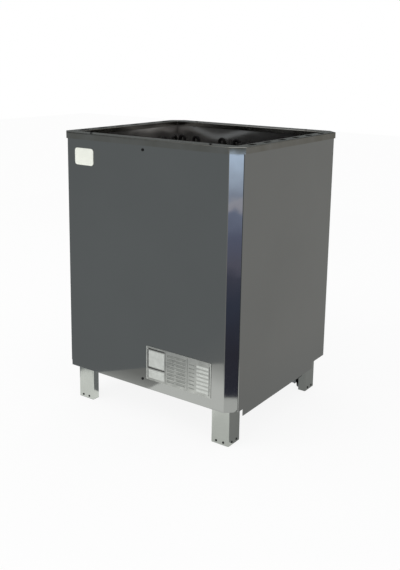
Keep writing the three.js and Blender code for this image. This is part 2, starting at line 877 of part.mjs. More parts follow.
// Each wire leaves its pole, runs across the box below the pins and rises to the middle of its link
function phaseWire(pole, pair) {
  const target = pair[0].clone().lerp(pair[1], 0.5);
  const startX = blockFace - fit;
  const startY = poleY(pole);
  const run = blockBottom + wireExitLift;
  const rise = liveLinkTop - linkThickness - fit;
  const route = new THREE.CatmullRomCurve3([
    new THREE.Vector3(startX, startY, run),
    new THREE.Vector3(startX - wireBend, startY, run),
    new THREE.Vector3(target.x + wireBend, target.y, run),
    new THREE.Vector3(target.x, target.y, (run + rise) / 2),
    new THREE.Vector3(target.x, target.y, rise),
  ], false, 'centripetal');
  return swept(route, wireSteps, wireDiameter, wireSides);
}

function placeWiring() {
  place('star_link', starLink(), 'copper');
  const pairs = phasePairs();
  const poles = [1, 2, 0];
  pairs.forEach((pair, i) => {
    place(`phase_link_${i + 1}`, liveLink(pair[0], pair[1]), 'copper');
    place(`phase_wire_${i + 1}`, phaseWire(poles[i], pair), 'sleeve');
  });
  place('terminal_block', terminalBlock(), 'ceramic');
}

// Cable gland in the tab under the right side, with its dome nut towards the back
function glandBody() {
  const thread = rod(glandThread, -glandThreadLength, fit, 12);
  const flange = hexagon(glandHex, fit, fit + glandHexLength);
  const neckTop = fit + glandHexLength + glandNeckLength;
  const neck = rod(glandNeck, 0, neckTop, 12);
  const bore = rod(glandBore, -2 * glandThreadLength, 2 * neckTop);
  return cut(join(thread, flange, neck), bore);
}

function glandNut() {
  const bottom = fit + glandHexLength + glandNeckLength + fit;
  const outer = glandNutDiameter / 2;
  const bore = glandBore / 2;
  const profile = [
    [bore, bottom], [outer, bottom], [outer, bottom + glandNutStraight],
    [glandShoulderDiameter / 2, bottom + glandShoulder], [glandMouth / 2, bottom + glandNutLength],
    [bore, bottom + glandNutLength], [bore, bottom],
  ];
  return turned(profile, 12);
}

function placeGland() {
  const seat = new THREE.Group();
  seat.position.set(glandSide, glandTabFace, glandHeight);
  seat.rotation.x = -Math.PI / 2;
  heater.add(seat);
  place('cable_gland_body', glandBody(), 'plastic', seat);
  place('cable_gland_nut', glandNut(), 'plastic', seat);
}

// Leg: folded column, open at its inner corner, with a top plate and a foot lip
function legRivetPlaces() {
  const h = legFace / 2;
  const places = [];
  for (const along of [-rivetSpacing / 2, rivetSpacing / 2]) {
    places.push({ x: h, y: along, turn: 0 });
    places.push({ x: along, y: -h, turn: -Math.PI / 2 });
  }
  return places;
}

function legColumn() {
  const h = legFace / 2;
  const line = [
    point(-h, -h + legReturn), point(-h, -h), point(h, -h), point(h, h), point(h - legReturn, h),
  ];
  const column = foldedSheet(line, legSheet, 0, legTop);
  const cap = plate(rectangle(h, h), legTop - legTopPlate, legTop);
  const lipOutline = [
    point(-h, -h), point(h, -h), point(h, h),
    point(h - legFootLip, h), point(h - legFootLip, -h + legFootLip), point(-h, -h + legFootLip),
  ];
  const lip = plate(lipOutline, 0, legSheet);
  const boltHole = rod(legBoltDiameter + 2 * fit, legTop - 2 * legTopPlate, legTop + legTopPlate);
  const rivetHoles = legRivetPlaces().map(({ x, y, turn }) => {
    const drill = pointingRight(rod(rivetDiameter + 2 * fit, -2 * legSheet, legSheet, 8));
    return drill.rotateZ(turn).translate(x, y, rivetLift);
  });
  return cut(join(column, cap, lip), boltHole, ...rivetHoles);
}

function legBolt() {
  const seat = legTop - legTopPlate - fit;
  const head = hexagon(legBoltHead, seat - legBoltHeadHeight, seat);
  return join(head, rod(legBoltDiameter, seat - fit, seat + legBoltLength, 8));
}

// Bracket riveted into the leg, with the nut that the levelling foot screws through
function footBracket() {
  const inner = legFace / 2 - legSheet - fit;
  const open = legFace / 2 - legReturn;
  const floor = plate([
    point(-inner, -inner), point(inner, -inner), point(inner, inner),
    point(open, inner), point(-inner, -open),
  ], bracketBottom, bracketTop);
  const tabBottom = legSheet + fit;
  const half = bracketTabWidth / 2;
  const tabs = [
    block(inner - bracketTab, inner, -half, half, tabBottom, bracketTop),
    block(-half, half, -inner, -inner + bracketTab, tabBottom, bracketTop),
  ];
  const nut = hexagon(bracketNutSize, bracketBottom, bracketTop + bracketNutHeight);
  const bore = rod(footStemDiameter + 2 * fit, 0, bracketTop + 2 * bracketNutHeight);
  const rivets = legRivetPlaces().map(({ x, y, turn }) => {
    return pointingRight(footRivet()).rotateZ(turn).translate(x, y, rivetLift);
  });
  return join(cut(join(floor, ...tabs, nut), bore), ...rivets);
}

function footRivet() {
  const shank = rivetDiameter / 2;
  const head = rivetHead / 2;
  const start = -legSheet - fit - bracketTab / 2;
  return turned([
    [0, start], [shank, start], [shank, fit], [head, fit],
    [head, fit + rivetHeadHeight / 2], [0, fit + rivetHeadHeight],
  ], 8);
}

// Levelling foot: pad and threaded stem in one piece, drawn up into the leg
function levellingFoot() {
  const padTop = footPadRecess + footPadHeight;
  const pad = footPadDiameter / 2;
  const stem = footStemDiameter / 2;
  const stemTop = padTop + footStemLength;
  const edge = footPadHeight / 4;
  const body = turned([
    [0, footPadRecess], [pad - edge / 2, footPadRecess], [pad, footPadRecess + edge],
    [pad, padTop - edge], [pad - edge, padTop], [stem, padTop], [stem, stemTop], [0, stemTop],
  ], 12);
  return join(body, hexagon(footKeySize, stemTop - fit, stemTop + footKeyLength));
}

function placeLegs() {
  for (const { name, x, y, turn } of legPlaces()) {
    const corner = new THREE.Group();
    corner.position.set(x, y, 0);
    corner.rotation.z = turn;
    heater.add(corner);
    place(`leg_${name}`, legColumn(), 'brushed', corner);
    place(`leg_bolt_${name}`, legBolt(), 'zinc', corner);
    place(`foot_bracket_${name}`, footBracket(), 'zinc', corner);
    place(`levelling_foot_${name}`, levellingFoot(), 'zinc', corner);
  }
}

// Blank rating plate with its rivets, and the bare badge
function ratingPlate() {
  const outline = rectangle(plateWidth / 2, plateHeight / 2);
  const rivets = [];
  for (const sideX of [-1, 1]) {
    for (const sideY of [-1, 1]) {
      const rivet = turned([
        [0, 0], [plateRivetDiameter / 2, 0], [plateRivetDiameter / 2, plateThickness],
        [plateRivetDiameter / 4, plateThickness + plateRivetHeight],
        [0, plateThickness + plateRivetHeight],
      ], 8);
      const x = sideX * (plateWidth / 2 - plateRivetInset);
      rivets.push(rivet.translate(x, sideY * (plateHeight / 2 - plateRivetInset), 0));
    }
  }
  return pointingForward(join(plate(outline, 0, plateThickness), ...rivets));
}

function badge() {
  return pointingForward(plate(roundCornered(badgeWidth, badgeHeight, badgeRadius), 0, badgeThickness));
}

function placePlates() {
  const plateCentreX = halfWidth - plateInset - plateWidth / 2;
  const rating = place('rating_plate', ratingPlate(), 'brushed');
  rating.position.set(plateCentreX, frontSkin, panelBottom + plateRise + plateHeight / 2);
  const badgeCentreX = -halfWidth + badgeInset + badgeWidth / 2;
  const mark = place('badge', badge(), 'badge');
  mark.position.set(badgeCentreX, frontSkin, totalHeight - badgeDrop - badgeHeight / 2);
}

// Pan head screw along Z, its head above zero
function screw() {
  const head = screwHead / 2;
  const shank = screwDiameter / 2;
  return turned([
    [0, -screwLength], [shank, -screwLength], [shank, fit], [head, fit],
    [head, fit + screwHeadHeight / 2], [screwCrown / 2, fit + screwHeadHeight],
    [0, fit + screwHeadHeight],
  ]);
}

function placeScrews() {
  const faces = [['front', -halfDepth, pointingForward], ['back', halfDepth, pointingBack]];
  for (const [side, y, aim] of faces) {
    place(`${side}_screw_upper`, aim(screw()), 'zinc').position.set(0, y, upperScrewLift);
    place(`${side}_screw_lower`, aim(screw()), 'zinc').position.set(0, y, lowerScrewLift);
  }
  const names = ['front_left', 'front_right', 'back_left', 'back_right'];
  rimScrewPlaces().forEach(({ x, y }, i) => {
    place(`rim_screw_${names[i]}`, screw(), 'zinc').position.set(x, y, totalHeight);
  });
  const coverScrew = place('cover_screw', screw().rotateX(Math.PI), 'zinc');
  coverScrew.position.set(0, -coverScrewLine, coverTop - sheet);
}

placePanels();
place('top_rim', topRim(), 'polished');
place('stone_liner', stoneLiner(), 'liner');
place('stone_grate', stoneGrate(), 'element');
place('base_tray', baseTray(), 'zinc');
place('terminal_box', terminalBox(), 'zinc');
place('element_plate', elementPlate(), 'zinc');
place('terminal_cover', terminalCover(), 'zinc');
placeElements();
placeWiring();
placeGland();
placeLegs();
placePlates();
placeScrews();

export default heater;
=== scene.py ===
"""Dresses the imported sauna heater: folded polished sheet, hairpin elements, plates and a plain studio."""
import math

import bmesh
import bpy
from mathutils import Matrix, Vector


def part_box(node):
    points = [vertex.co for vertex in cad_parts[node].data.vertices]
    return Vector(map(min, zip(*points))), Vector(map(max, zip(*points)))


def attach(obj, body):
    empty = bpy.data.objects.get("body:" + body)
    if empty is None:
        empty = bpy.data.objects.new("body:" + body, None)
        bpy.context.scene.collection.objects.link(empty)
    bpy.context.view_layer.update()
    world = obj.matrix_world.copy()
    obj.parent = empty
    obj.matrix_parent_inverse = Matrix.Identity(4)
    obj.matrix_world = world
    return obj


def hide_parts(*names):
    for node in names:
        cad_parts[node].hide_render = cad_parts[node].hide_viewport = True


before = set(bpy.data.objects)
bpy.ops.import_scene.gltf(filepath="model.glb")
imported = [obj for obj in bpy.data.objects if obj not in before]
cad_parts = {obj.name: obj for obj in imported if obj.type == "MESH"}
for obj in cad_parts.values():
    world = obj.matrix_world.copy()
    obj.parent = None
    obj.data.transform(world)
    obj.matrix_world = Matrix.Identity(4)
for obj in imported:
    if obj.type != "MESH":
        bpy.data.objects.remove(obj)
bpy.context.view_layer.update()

bl_info = {
    "name": "Sauna heater dressing",
    "version": (1, 0, 0),
    "blender": (4, 5, 0),
    "location": "View3D > Sidebar > Heater",
    "description": "Builds the visible pieces of a floor-standing sauna heater round its packed solids",
    "category": "Object",
}

MM = 0.001
FINE = 0.001 * MM
LAP = 1.4 * MM
HEATER = "heater"
# Each corner, and the degrees that its leg is turned from the front right one
CORNERS = {"front_right": 0, "back_right": 90, "back_left": 180, "front_left": -90}


class HeaterSizes(bpy.types.PropertyGroup):
    """Sizes that a maker would change on the dressed pieces."""

    sheet: bpy.props.FloatProperty(
        name="Sheet", description="Thickness of the casing sheet", default=1.5 * MM, unit="LENGTH")
    bend: bpy.props.FloatProperty(
        name="Bend", description="Outer radius of the casing folds", default=2.6 * MM, unit="LENGTH")
    leg_sheet: bpy.props.FloatProperty(
        name="Leg sheet", description="Thickness of the leg sheet", default=2 * MM, unit="LENGTH")
    leg_bend: bpy.props.FloatProperty(
        name="Leg bend", description="Outer radius of the leg folds", default=3.2 * MM, unit="LENGTH")
    edge: bpy.props.FloatProperty(
        name="Edge", description="Rounding of the cut sheet edges", default=0.3 * MM, unit="LENGTH")
    tube: bpy.props.FloatProperty(
        name="Tube", description="Radius of the element tube", default=4 * MM, unit="LENGTH")
    dent: bpy.props.FloatProperty(
        name="Dents", description="Depth of the waves in the liner", default=3.6 * MM, unit="LENGTH")
    thread: bpy.props.FloatProperty(
        name="Thread", description="Pitch of the threads", default=1.5 * MM, unit="LENGTH")


class HeaterColours(bpy.types.PropertyGroup):
    """Colours of the finishes."""

    panel: bpy.props.FloatVectorProperty(
        name="Panel", description="Polished casing", default=(0.42, 0.425, 0.42), subtype="COLOR")
    rim: bpy.props.FloatVectorProperty(
        name="Rim", description="Polished rim", default=(0.42, 0.415, 0.4), subtype="COLOR")
    liner: bpy.props.FloatVectorProperty(
        name="Liner", description="Stone compartment", default=(0.58, 0.565, 0.56), subtype="COLOR")
    leg: bpy.props.FloatVectorProperty(
        name="Leg", description="Polished legs", default=(0.51, 0.525, 0.505), subtype="COLOR")
    element: bpy.props.FloatVectorProperty(
        name="Element", description="Heat darkened tube", default=(0.005, 0.005, 0.005), subtype="COLOR")
    zinc: bpy.props.FloatVectorProperty(
        name="Zinc", description="Plated hardware", default=(0.3, 0.31, 0.32), subtype="COLOR")
    plate: bpy.props.FloatVectorProperty(
        name="Plate", description="Rating plate", default=(0.52, 0.53, 0.51), subtype="COLOR")
    badge: bpy.props.FloatVectorProperty(
        name="Badge", description="Bare badge", default=(0.86, 0.88, 0.8), subtype="COLOR")


class StudioSettings(bpy.types.PropertyGroup):
    """Camera and light of the plain studio."""

    lens: bpy.props.FloatProperty(
        name="Lens", description="Focal length in millimetres", default=49.09)
    shift: bpy.props.FloatProperty(
        name="Shift", description="Vertical shift of the frame", default=-0.1228)
    place: bpy.props.FloatVectorProperty(
        name="Place", description="Camera place", default=(1.12033, -1.61439, 0.89137),
        subtype="XYZ", unit="LENGTH")
    yaw: bpy.props.FloatProperty(
        name="Yaw", description="Turn of the camera to the left", default=0.60865, unit="ROTATION")
    pitch: bpy.props.FloatProperty(
        name="Pitch", description="Tilt of the camera downwards", default=0.20434, unit="ROTATION")
    roll: bpy.props.FloatProperty(
        name="Roll", description="Roll of the camera", default=0.015207, unit="ROTATION")
    key: bpy.props.FloatProperty(
        name="Key lamp", description="Power of the soft lamp in watts", default=32)
    fill: bpy.props.FloatProperty(
        name="Fill", description="Strength of the white surroundings", default=0.85)


def sizes():
    return bpy.context.scene.heater_sizes


def colours():
    return bpy.context.scene.heater_colours


def studio():
    return bpy.context.scene.heater_studio


# Selecting and shaping by hand tools
def clear_selection():
    active = bpy.context.view_layer.objects.active
    if active is not None and active.mode != "OBJECT":
        bpy.ops.object.mode_set(mode="OBJECT")
    bpy.ops.object.select_all(action="DESELECT")


def activate(piece):
    clear_selection()
    piece.select_set(True)
    bpy.context.view_layer.objects.active = piece


def edit(piece):
    activate(piece)
    bpy.ops.object.mode_set(mode="EDIT")


def leave_edit():
    bpy.ops.object.mode_set(mode="OBJECT")


def pick_all():
    bpy.ops.mesh.select_all(action="SELECT")


def extrude(step):
    bpy.ops.mesh.extrude_region_move(TRANSFORM_OT_translate={"value": step})


def round_edges(offset, segments=4):
    bpy.ops.mesh.bevel(offset=offset, segments=segments, affect="EDGES")


def face_outwards():
    pick_all()
    bpy.ops.mesh.normals_make_consistent(inside=False)


def close_up():
    """Joins the corners that meet in the edited mesh, turns its faces outwards and leaves it."""
    pick_all()
    bpy.ops.mesh.remove_doubles(threshold=0.01 * MM)
    face_outwards()
    leave_edit()


def pick(kind, test):
    """Selects the corners, edges or faces of the edited mesh whose middle passes the test."""
    bpy.context.tool_settings.mesh_select_mode = (kind == "VERT", kind == "EDGE", kind == "FACE")
    bpy.ops.mesh.select_all(action="DESELECT")
    shape = bmesh.from_edit_mesh(bpy.context.edit_object.data)
    items = {"VERT": shape.verts, "EDGE": shape.edges, "FACE": shape.faces}[kind]
    for item in items:
        corners = [item] if kind == "VERT" else item.verts
        middle = sum((v.co for v in corners), Vector()) / len(corners)
        if test(item, middle):
            item.select_set(True)
    shape.select_flush_mode()
    bmesh.update_edit_mesh(bpy.context.edit_object.data)


def close_to(value, target, slack=0.05 * MM):
    return abs(value - target) < slack


def upright(edge):
    along = edge.verts[1].co - edge.verts[0].co
    return abs(along.z) > 0.99 * along.length


def level_at(edge, height):
    return all(close_to(corner.co.z, height) for corner in edge.verts)


def faces_front(face, middle=None):
    return face.normal.y < -0.9


def front_to_back(edge, middle):
    start, end = (corner.co for corner in edge.verts)
    return close_to(start.x, end.x) and close_to(start.z, end.z)


def trace(name, points):
    """Starts a piece as a line of edges through the points, and leaves it picked in edit mode."""
    piece = primitive("plane", size=1 * MM, location=(0, 0, 0))
    piece.name = name
    piece.data.name = name
    bpy.ops.object.mode_set(mode="EDIT")
    bpy.context.tool_settings.mesh_select_mode = (True, False, False)
    pick_all()
    bpy.ops.mesh.merge(type="CENTER")
    bpy.ops.transform.translate(value=points[0])
    for start, end in zip(points, points[1:]):
        step = Vector(end) - Vector(start)
        bpy.ops.mesh.extrude_vertices_move(TRANSFORM_OT_translate={"value": step})
    pick_all()
    return piece


def outlined_plate(name, points, push):
    """A flat plate: its outline traced, filled and pushed to its thickness."""
    piece = trace(name, points)
    bpy.ops.mesh.edge_face_add()
    extrude(push)
    face_outwards()
    leave_edit()
    return piece


def in_mm(*pairs):
    """Pairs of millimetres as lengths in the scene."""
    return [(across * MM, along * MM) for across, along in pairs]


def lathed(name, profile, steps):
    """A closed piece turned about Z from [radius, height] pairs."""
    piece = trace(name, [(r, 0, z) for r, z in profile])
    bpy.ops.mesh.spin(steps=steps, angle=2 * math.pi, center=(0, 0, 0), axis=(0, 0, 1))
    close_up()
    return piece


def apply_modifier(piece, kind, **settings):
    activate(piece)
    step = piece.modifiers.new(kind.lower(), kind)
    for key, value in settings.items():
        setattr(step, key, value)
    bpy.ops.object.modifier_apply(modifier=step.name)


def cut(piece, cutter):
    apply_modifier(piece, "BOOLEAN", operation="DIFFERENCE", object=cutter, solver="EXACT")
    bpy.data.objects.remove(cutter)


def soften(piece, width, segments=2, angle=40):
    """Rounds the sharp edges of a finished shape and keeps its flat faces flat."""
    if width > 0:
        apply_modifier(piece, "BEVEL", width=width, segments=segments, limit_method="ANGLE",
                       angle_limit=math.radians(angle), use_clamp_overlap=True)
    activate(piece)
    bpy.ops.object.shade_smooth_by_angle(angle=math.radians(angle))
    apply_modifier(piece, "WEIGHTED_NORMAL", keep_sharp=True)


def new_object(name, data):
    made = bpy.data.objects.new(name, data)
    bpy.context.scene.collection.objects.link(made)
    return made


def merged_copy(node, name):
    """A copy of a solid with its loose triangles joined into whole faces."""
    piece = new_object(name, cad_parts[node].data.copy())
    piece.data.name = name
    piece.data.materials.clear()
    edit(piece)
    pick_all()
    bpy.ops.mesh.remove_doubles(threshold=0.005 * MM)
    bpy.ops.mesh.customdata_custom_splitnormals_clear()
    bpy.ops.mesh.tris_convert_to_quads(face_threshold=math.radians(0.5))
    leave_edit()
    return piece


def about_z(turn, shift=(0, 0, 0)):
    """A turn about Z in degrees and then a shift."""
    return Matrix.Translation(shift) @ Matrix.Rotation(math.radians(turn), 4, "Z")


def standing(node, turn=0):
    """Where a model that stands on the origin goes for a node, turned about Z."""
    low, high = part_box(node)
    centre = (low + high) / 2
    return about_z(turn, (centre.x, centre.y, 0))


def moved_copy(piece, name, place):
    """A copy with its own mesh, which takes up its place."""
    copy = new_object(name, piece.data.copy())
    copy.data.name = name
    copy.data.transform(place)
    return copy


def joined(pieces, name):
    activate(pieces[0])
    for piece in pieces[1:]:
        piece.select_set(True)
    bpy.ops.object.join()
    pieces[0].name = name
    pieces[0].data.name = name
    return pieces[0]


def settle(piece):
    """Puts the place of a piece into its mesh."""
    activate(piece)
    bpy.ops.object.transform_apply(location=True, rotation=True, scale=True)
    return piece


def primitive(kind, **settings):
    """Adds one of the basic shapes, with its place in its mesh."""
    clear_selection()
    getattr(bpy.ops.mesh, f"primitive_{kind}_add")(**settings)
    return settle(bpy.context.object)


def block(place, size, turn=0.0):
    """A box to be worked on, turned about Z."""
    return primitive("cube", size=1, location=place, rotation=(0, 0, turn), scale=size)


def drum(sides, radius, length, height):
    """An upright prism or cylinder to be worked on."""
    return primitive("cylinder", vertices=sides, radius=radius, depth=length, location=(0, 0, height))


def hand_over(piece, look, node, body=HEATER):
    """Gives a finished piece its material and ties it to the solid that it stands for."""
    if not piece.data.materials:
        piece.data.materials.append(finish(look))
    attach(piece, body)
    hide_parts(node)


def set_copies(model, ending, look, places, moving=False):
    """Sets a finished copy of a model at the place of each node, and takes the model away."""
    for node, place in places.items():
        copy = moved_copy(model, f"{node}_{ending}", place)
        hand_over(copy, look, node, body=node if moving else HEATER)
    bpy.data.objects.remove(model)


# Finishes
def set_inputs(node, **values):
    """Sets a shader node's inputs by name, with underscores for spaces."""
    for name, value in values.items():
        node.inputs[name.replace("_", " ")].default_value = value


def add_node(tree, kind, **values):
    made = tree.nodes.new(f"ShaderNode{kind}")
    set_inputs(made, **values)
    return made


def calculation(tree, operation, second=0.0):
    made = add_node(tree, "Math")
    made.operation = operation
    made.inputs[1].default_value = second
    return made


def mottle_group():
    """Cloudy variation over a surface, between two values, with its height."""
    known = bpy.data.node_groups.get("Mottle")
    if known:
        return known
    group = bpy.data.node_groups.new("Mottle", "ShaderNodeTree")
    sockets = group.interface
    sockets.new_socket("Vector", in_out="INPUT", socket_type="NodeSocketVector")
    for name in ("Scale", "Detail", "Low", "High"):
        sockets.new_socket(name, in_out="INPUT", socket_type="NodeSocketFloat")
    for name in ("Value", "Height"):
        sockets.new_socket(name, in_out="OUTPUT", socket_type="NodeSocketFloat")
    start = group.nodes.new("NodeGroupInput")
    end = group.nodes.new("NodeGroupOutput")
    noise = add_node(group, "TexNoise")
    spread = add_node(group, "MapRange", From_Min=0.3, From_Max=0.7)
    link = group.links.new
    for name in ("Vector", "Scale", "Detail"):
        link(start.outputs[name], noise.inputs[name])
    link(noise.outputs["Fac"], spread.inputs["Value"])
    link(start.outputs["Low"], spread.inputs["To Min"])
    link(start.outputs["High"], spread.inputs["To Max"])
    link(spread.outputs["Result"], end.inputs["Value"])
    link(noise.outputs["Fac"], end.inputs["Height"])
    return group


class Finish:
    """A material under construction: its shader and the shared effects placed in it."""

    def __init__(self, name, colour, metallic, roughness):
        self.material = bpy.data.materials.new(name)
        self.material.use_nodes = True
        self.tree = self.material.node_tree
        self.link = self.tree.links.new
        self.shader = self.tree.nodes["Principled BSDF"]
        self.colour = (*colour, 1)
        set_inputs(self.shader, Base_Color=self.colour, Metallic=metallic, Roughness=roughness)
        self.place = add_node(self.tree, "TexCoord").outputs["Object"]

    def mottle(self, scale, detail, low, high, stretch=(1, 1, 1)):
        mapping = add_node(self.tree, "Mapping", Scale=stretch)
        self.link(self.place, mapping.inputs["Vector"])
        group = add_node(self.tree, "Group")
        group.node_tree = mottle_group()
        self.link(mapping.outputs["Vector"], group.inputs["Vector"])
        set_inputs(group, Scale=scale, Detail=detail, Low=low, High=high)
        return group

    def tint(self, other, scale, detail, share):
        group = self.mottle(scale, detail, 0, share)
        mix = add_node(self.tree, "Mix")
        mix.data_type = "RGBA"
        set_inputs(mix, A=self.colour, B=(*other, 1))
        self.link(group.outputs["Value"], mix.inputs["Factor"])
        self.link(mix.outputs["Result"], self.shader.inputs["Base Color"])

    def roughen(self, scale, detail, low, high):
        group = self.mottle(scale, detail, low, high)
        self.link(group.outputs["Value"], self.shader.inputs["Roughness"])

    def relief(self, scale, detail, depth, strength, stretch=(1, 1, 1)):
        group = self.mottle(scale, detail, 0, 1, stretch)
        bump = add_node(self.tree, "Bump", Strength=strength, Distance=depth * MM)
        self.link(group.outputs["Height"], bump.inputs["Height"])
        self.link(bump.outputs["Normal"], self.shader.inputs["Normal"])


# Each finish: its slot; a colour or the name of its setting, metallic, roughness;
# tint: the other colour or a share of the first, scale, detail, strength;
# roughness: scale, detail, lowest, highest;
# relief: scale, detail, depth in millimetres, strength, stretch
FINISHES = {
    "polished sheet": ("polished_steel", ("panel", 1, 0.1), (0.93, 3, 3, 1), (5, 6, 0.03, 0.09),
                       (4.5, 1, 0.4, 0.25)),
    "polished rim": ("rim_steel", ("rim", 1, 0.14), ((0.3, 0.29, 0.25), 16, 5, 0.7), (20, 6, 0.09, 0.2),
                     (24, 2, 0.2, 0.25)),
    "liner sheet": ("liner_steel", ("liner", 1, 0.2), (0.7, 6, 5, 1), (12, 5, 0.26, 0.38),
                    (40, 3, 0.4, 0.3)),
    "polished leg": ("leg_steel", ("leg", 1, 0.16), (0.9, 12, 4, 1), (30, 5, 0.12, 0.22),
                     (420, 2, 0.03, 0.25, (1, 1, 0.06))),
    "heat darkened tube": ("element_steel", ("element", 0, 0.6), ((0.009, 0.008, 0.007), 40, 6, 0.8),
                           (60, 5, 0.48, 0.66), (700, 3, 0.05, 0.3)),
    "heat stained grate": ("grate_steel", ((0.05, 0.047, 0.045), 0.8, 0.5),
                           ((0.09, 0.07, 0.055), 18, 6, 0.7), (40, 5, 0.4, 0.65), (300, 3, 0.05, 0.3)),
    "galvanised sheet": ("galvanised_steel", ((0.42, 0.43, 0.44), 1, 0.38), ((0.3, 0.31, 0.33), 70, 2, 1),
                         (70, 2, 0.3, 0.5), (240, 2, 0.03, 0.2)),
    "zinc plate": ("zinc_hardware", ("zinc", 1, 0.35), (0.75, 120, 4, 1), (160, 4, 0.28, 0.45),
                   (900, 2, 0.02, 0.2)),
    "dark screw": ("zinc_hardware", ((0.05, 0.05, 0.052), 0.9, 0.35), ((0.03, 0.03, 0.03), 200, 4, 1),
                   (220, 4, 0.3, 0.5), (900, 2, 0.02, 0.2)),
    "bare link": ("link_metal", ((0.58, 0.3, 0.12), 1, 0.32), ((0.4, 0.2, 0.08), 45, 5, 0.8),
                  (80, 4, 0.25, 0.45), (500, 2, 0.02, 0.2, (1, 0.1, 1))),
    "woven sleeve": ("wire_sleeve", ((0.2, 0.05, 0.03), 0, 0.75), ((0.28, 0.1, 0.07), 300, 3, 0.8),
                     (300, 3, 0.65, 0.9), (1500, 2, 0.1, 0.5)),
    "terminal ceramic": ("block_ceramic", ((0.75, 0.71, 0.62), 0, 0.55), ((0.66, 0.61, 0.52), 60, 5, 0.7),
                         (120, 4, 0.45, 0.7), (800, 3, 0.04, 0.3)),
    "gland plastic": ("gland_plastic", ((0.012, 0.012, 0.013), 0, 0.45), ((0.02, 0.02, 0.021), 90, 4, 1),
                      (140, 4, 0.38, 0.6), (1600, 2, 0.03, 0.4)),
    "plate metal": ("plate_metal", ("plate", 0.75, 0.32), (0.8, 55, 6, 1), (80, 5, 0.26, 0.42),
                    (500, 2, 0.02, 0.25, (0.1, 1, 1))),
    "plate field": ("plate_metal", ((0.68, 0.7, 0.67), 0.3, 0.4), ((0.56, 0.58, 0.55), 70, 5, 1),
                    (90, 4, 0.34, 0.5), (600, 2, 0.02, 0.2)),
    "plate grey": ("plate_metal", ((0.2, 0.21, 0.2), 0.4, 0.45), ((0.32, 0.33, 0.31), 160, 5, 1),
                   (90, 4, 0.38, 0.55), (600, 2, 0.02, 0.2)),
    "plate ink": ("plate_metal", ((0.018, 0.018, 0.017), 0, 0.5), ((0.035, 0.034, 0.032), 120, 5, 1),
                  (150, 4, 0.42, 0.6), (900, 2, 0.02, 0.2)),
    "badge enamel": ("badge_enamel", ("badge", 0, 0.32), (0.93, 35, 4, 1), (60, 4, 0.26, 0.4),
                     (400, 2, 0.02, 0.2)),
}
# One more setting of the shader for some of them
CONSTANTS = {
    "polished rim": {"Specular_Tint": (0.6, 0.59, 0.56, 1)},
    "heat darkened tube": {"Specular_IOR_Level": 0.1},
}


def finish(name):
    """One of the heater's finishes, made when it is first asked for."""
    known = bpy.data.materials.get(name)
    if known:
        return known
    (colour, metallic, roughness), (other, *tint), rough, relief = FINISHES[name][1:]
    if isinstance(colour, str):
        colour = getattr(colours(), colour)
    if isinstance(other, float):
        other = [min(1.0, share * other) for share in colour]
    made = Finish(name, colour, metallic, roughness)
    set_inputs(made.shader, **CONSTANTS.get(name, {}))
    made.tint(other, *tint)
    made.roughen(*rough)
    made.relief(*relief)
    return made.material


# Casing
def folded_sheet(name, corners, low, high, outward):
    """A sheet folded along upright lines, its widest face turned outwards."""
    piece = trace(name, [(x, y, low) for x, y in corners])
    extrude((0, 0, high - low))
    face_outwards()
    shape = bmesh.from_edit_mesh(piece.data)
    widest = max(shape.faces, key=lambda face: face.calc_area())
    if widest.normal.dot(outward) < 0:
        bpy.ops.mesh.flip_normals()
    return piece


def round_folds(corners, bend):
    """Rounds every inner fold of the edited sheet."""
    for before, at, after in zip(corners, corners[1:], corners[2:]):
        way_in = Vector(at) - Vector(before)
        way_out = Vector(after) - Vector(at)
        turn = way_in.angle(way_out)
        pick("EDGE", lambda edge, middle: upright(edge)
             and (middle.xy - Vector(at)).length < 0.05 * MM)
        round_edges(bend * math.tan(turn / 2), 6)


class HEATER_OT_folded_panels(bpy.types.Operator):
    """Folds the front and back panels with their corner strips and flanges"""

    bl_idname = "heater.folded_panels"
    bl_label = "Folded panels"

    def clip_corner(self, side, turn_x, turn_y, low):
        """Takes off the lower outer corner of a corner strip and the end of its flange."""
        width, height = 8 * MM / math.sqrt(2), 6 * MM
        start = Vector((side * (turn_x - width), turn_y - width, low))
        end = Vector((side * turn_x, turn_y, low + height))
        face = Vector((side, -1, 0)).normalized()
        away = (end - start).cross(face).normalized() * side
        pick("FACE", lambda item, middle: item.normal.dot(face) > 0.99)
        bpy.ops.mesh.bisect(plane_co=start, plane_no=away, clear_outer=True, threshold=FINE)
        pick("FACE", lambda item, middle: item.normal.x * side > 0.99)
        bpy.ops.mesh.bisect(plane_co=end, plane_no=(0, 0, -1), clear_outer=True, threshold=FINE)

    def execute(self, context):
        low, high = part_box("front_panel")
        front = low.y
        turn_x = high.x
        flat_x = 235 * MM
        turn_y = front + (turn_x - flat_x)
        end_y = high.y
        corners = [(-turn_x, end_y), (-turn_x, turn_y), (-flat_x, front),
                   (flat_x, front), (turn_x, turn_y), (turn_x, end_y)]
        panel = folded_sheet("front_panel_sheet", corners, low.z, high.z, Vector((0, -1, 0)))
        for side in (1, -1):
            self.clip_corner(side, turn_x, turn_y, low.z)
        pick_all()
        bpy.ops.mesh.remove_doubles(threshold=0.01 * MM)
        round_folds(corners, sizes().bend)
        leave_edit()
        apply_modifier(panel, "SOLIDIFY", thickness=sizes().sheet, offset=-1, use_even_offset=True)
        soften(panel, sizes().edge)
        back = moved_copy(panel, "back_panel_sheet", about_z(180))
        hand_over(panel, "polished sheet", "front_panel")
        hand_over(back, "polished sheet", "back_panel")
        return {"FINISHED"}


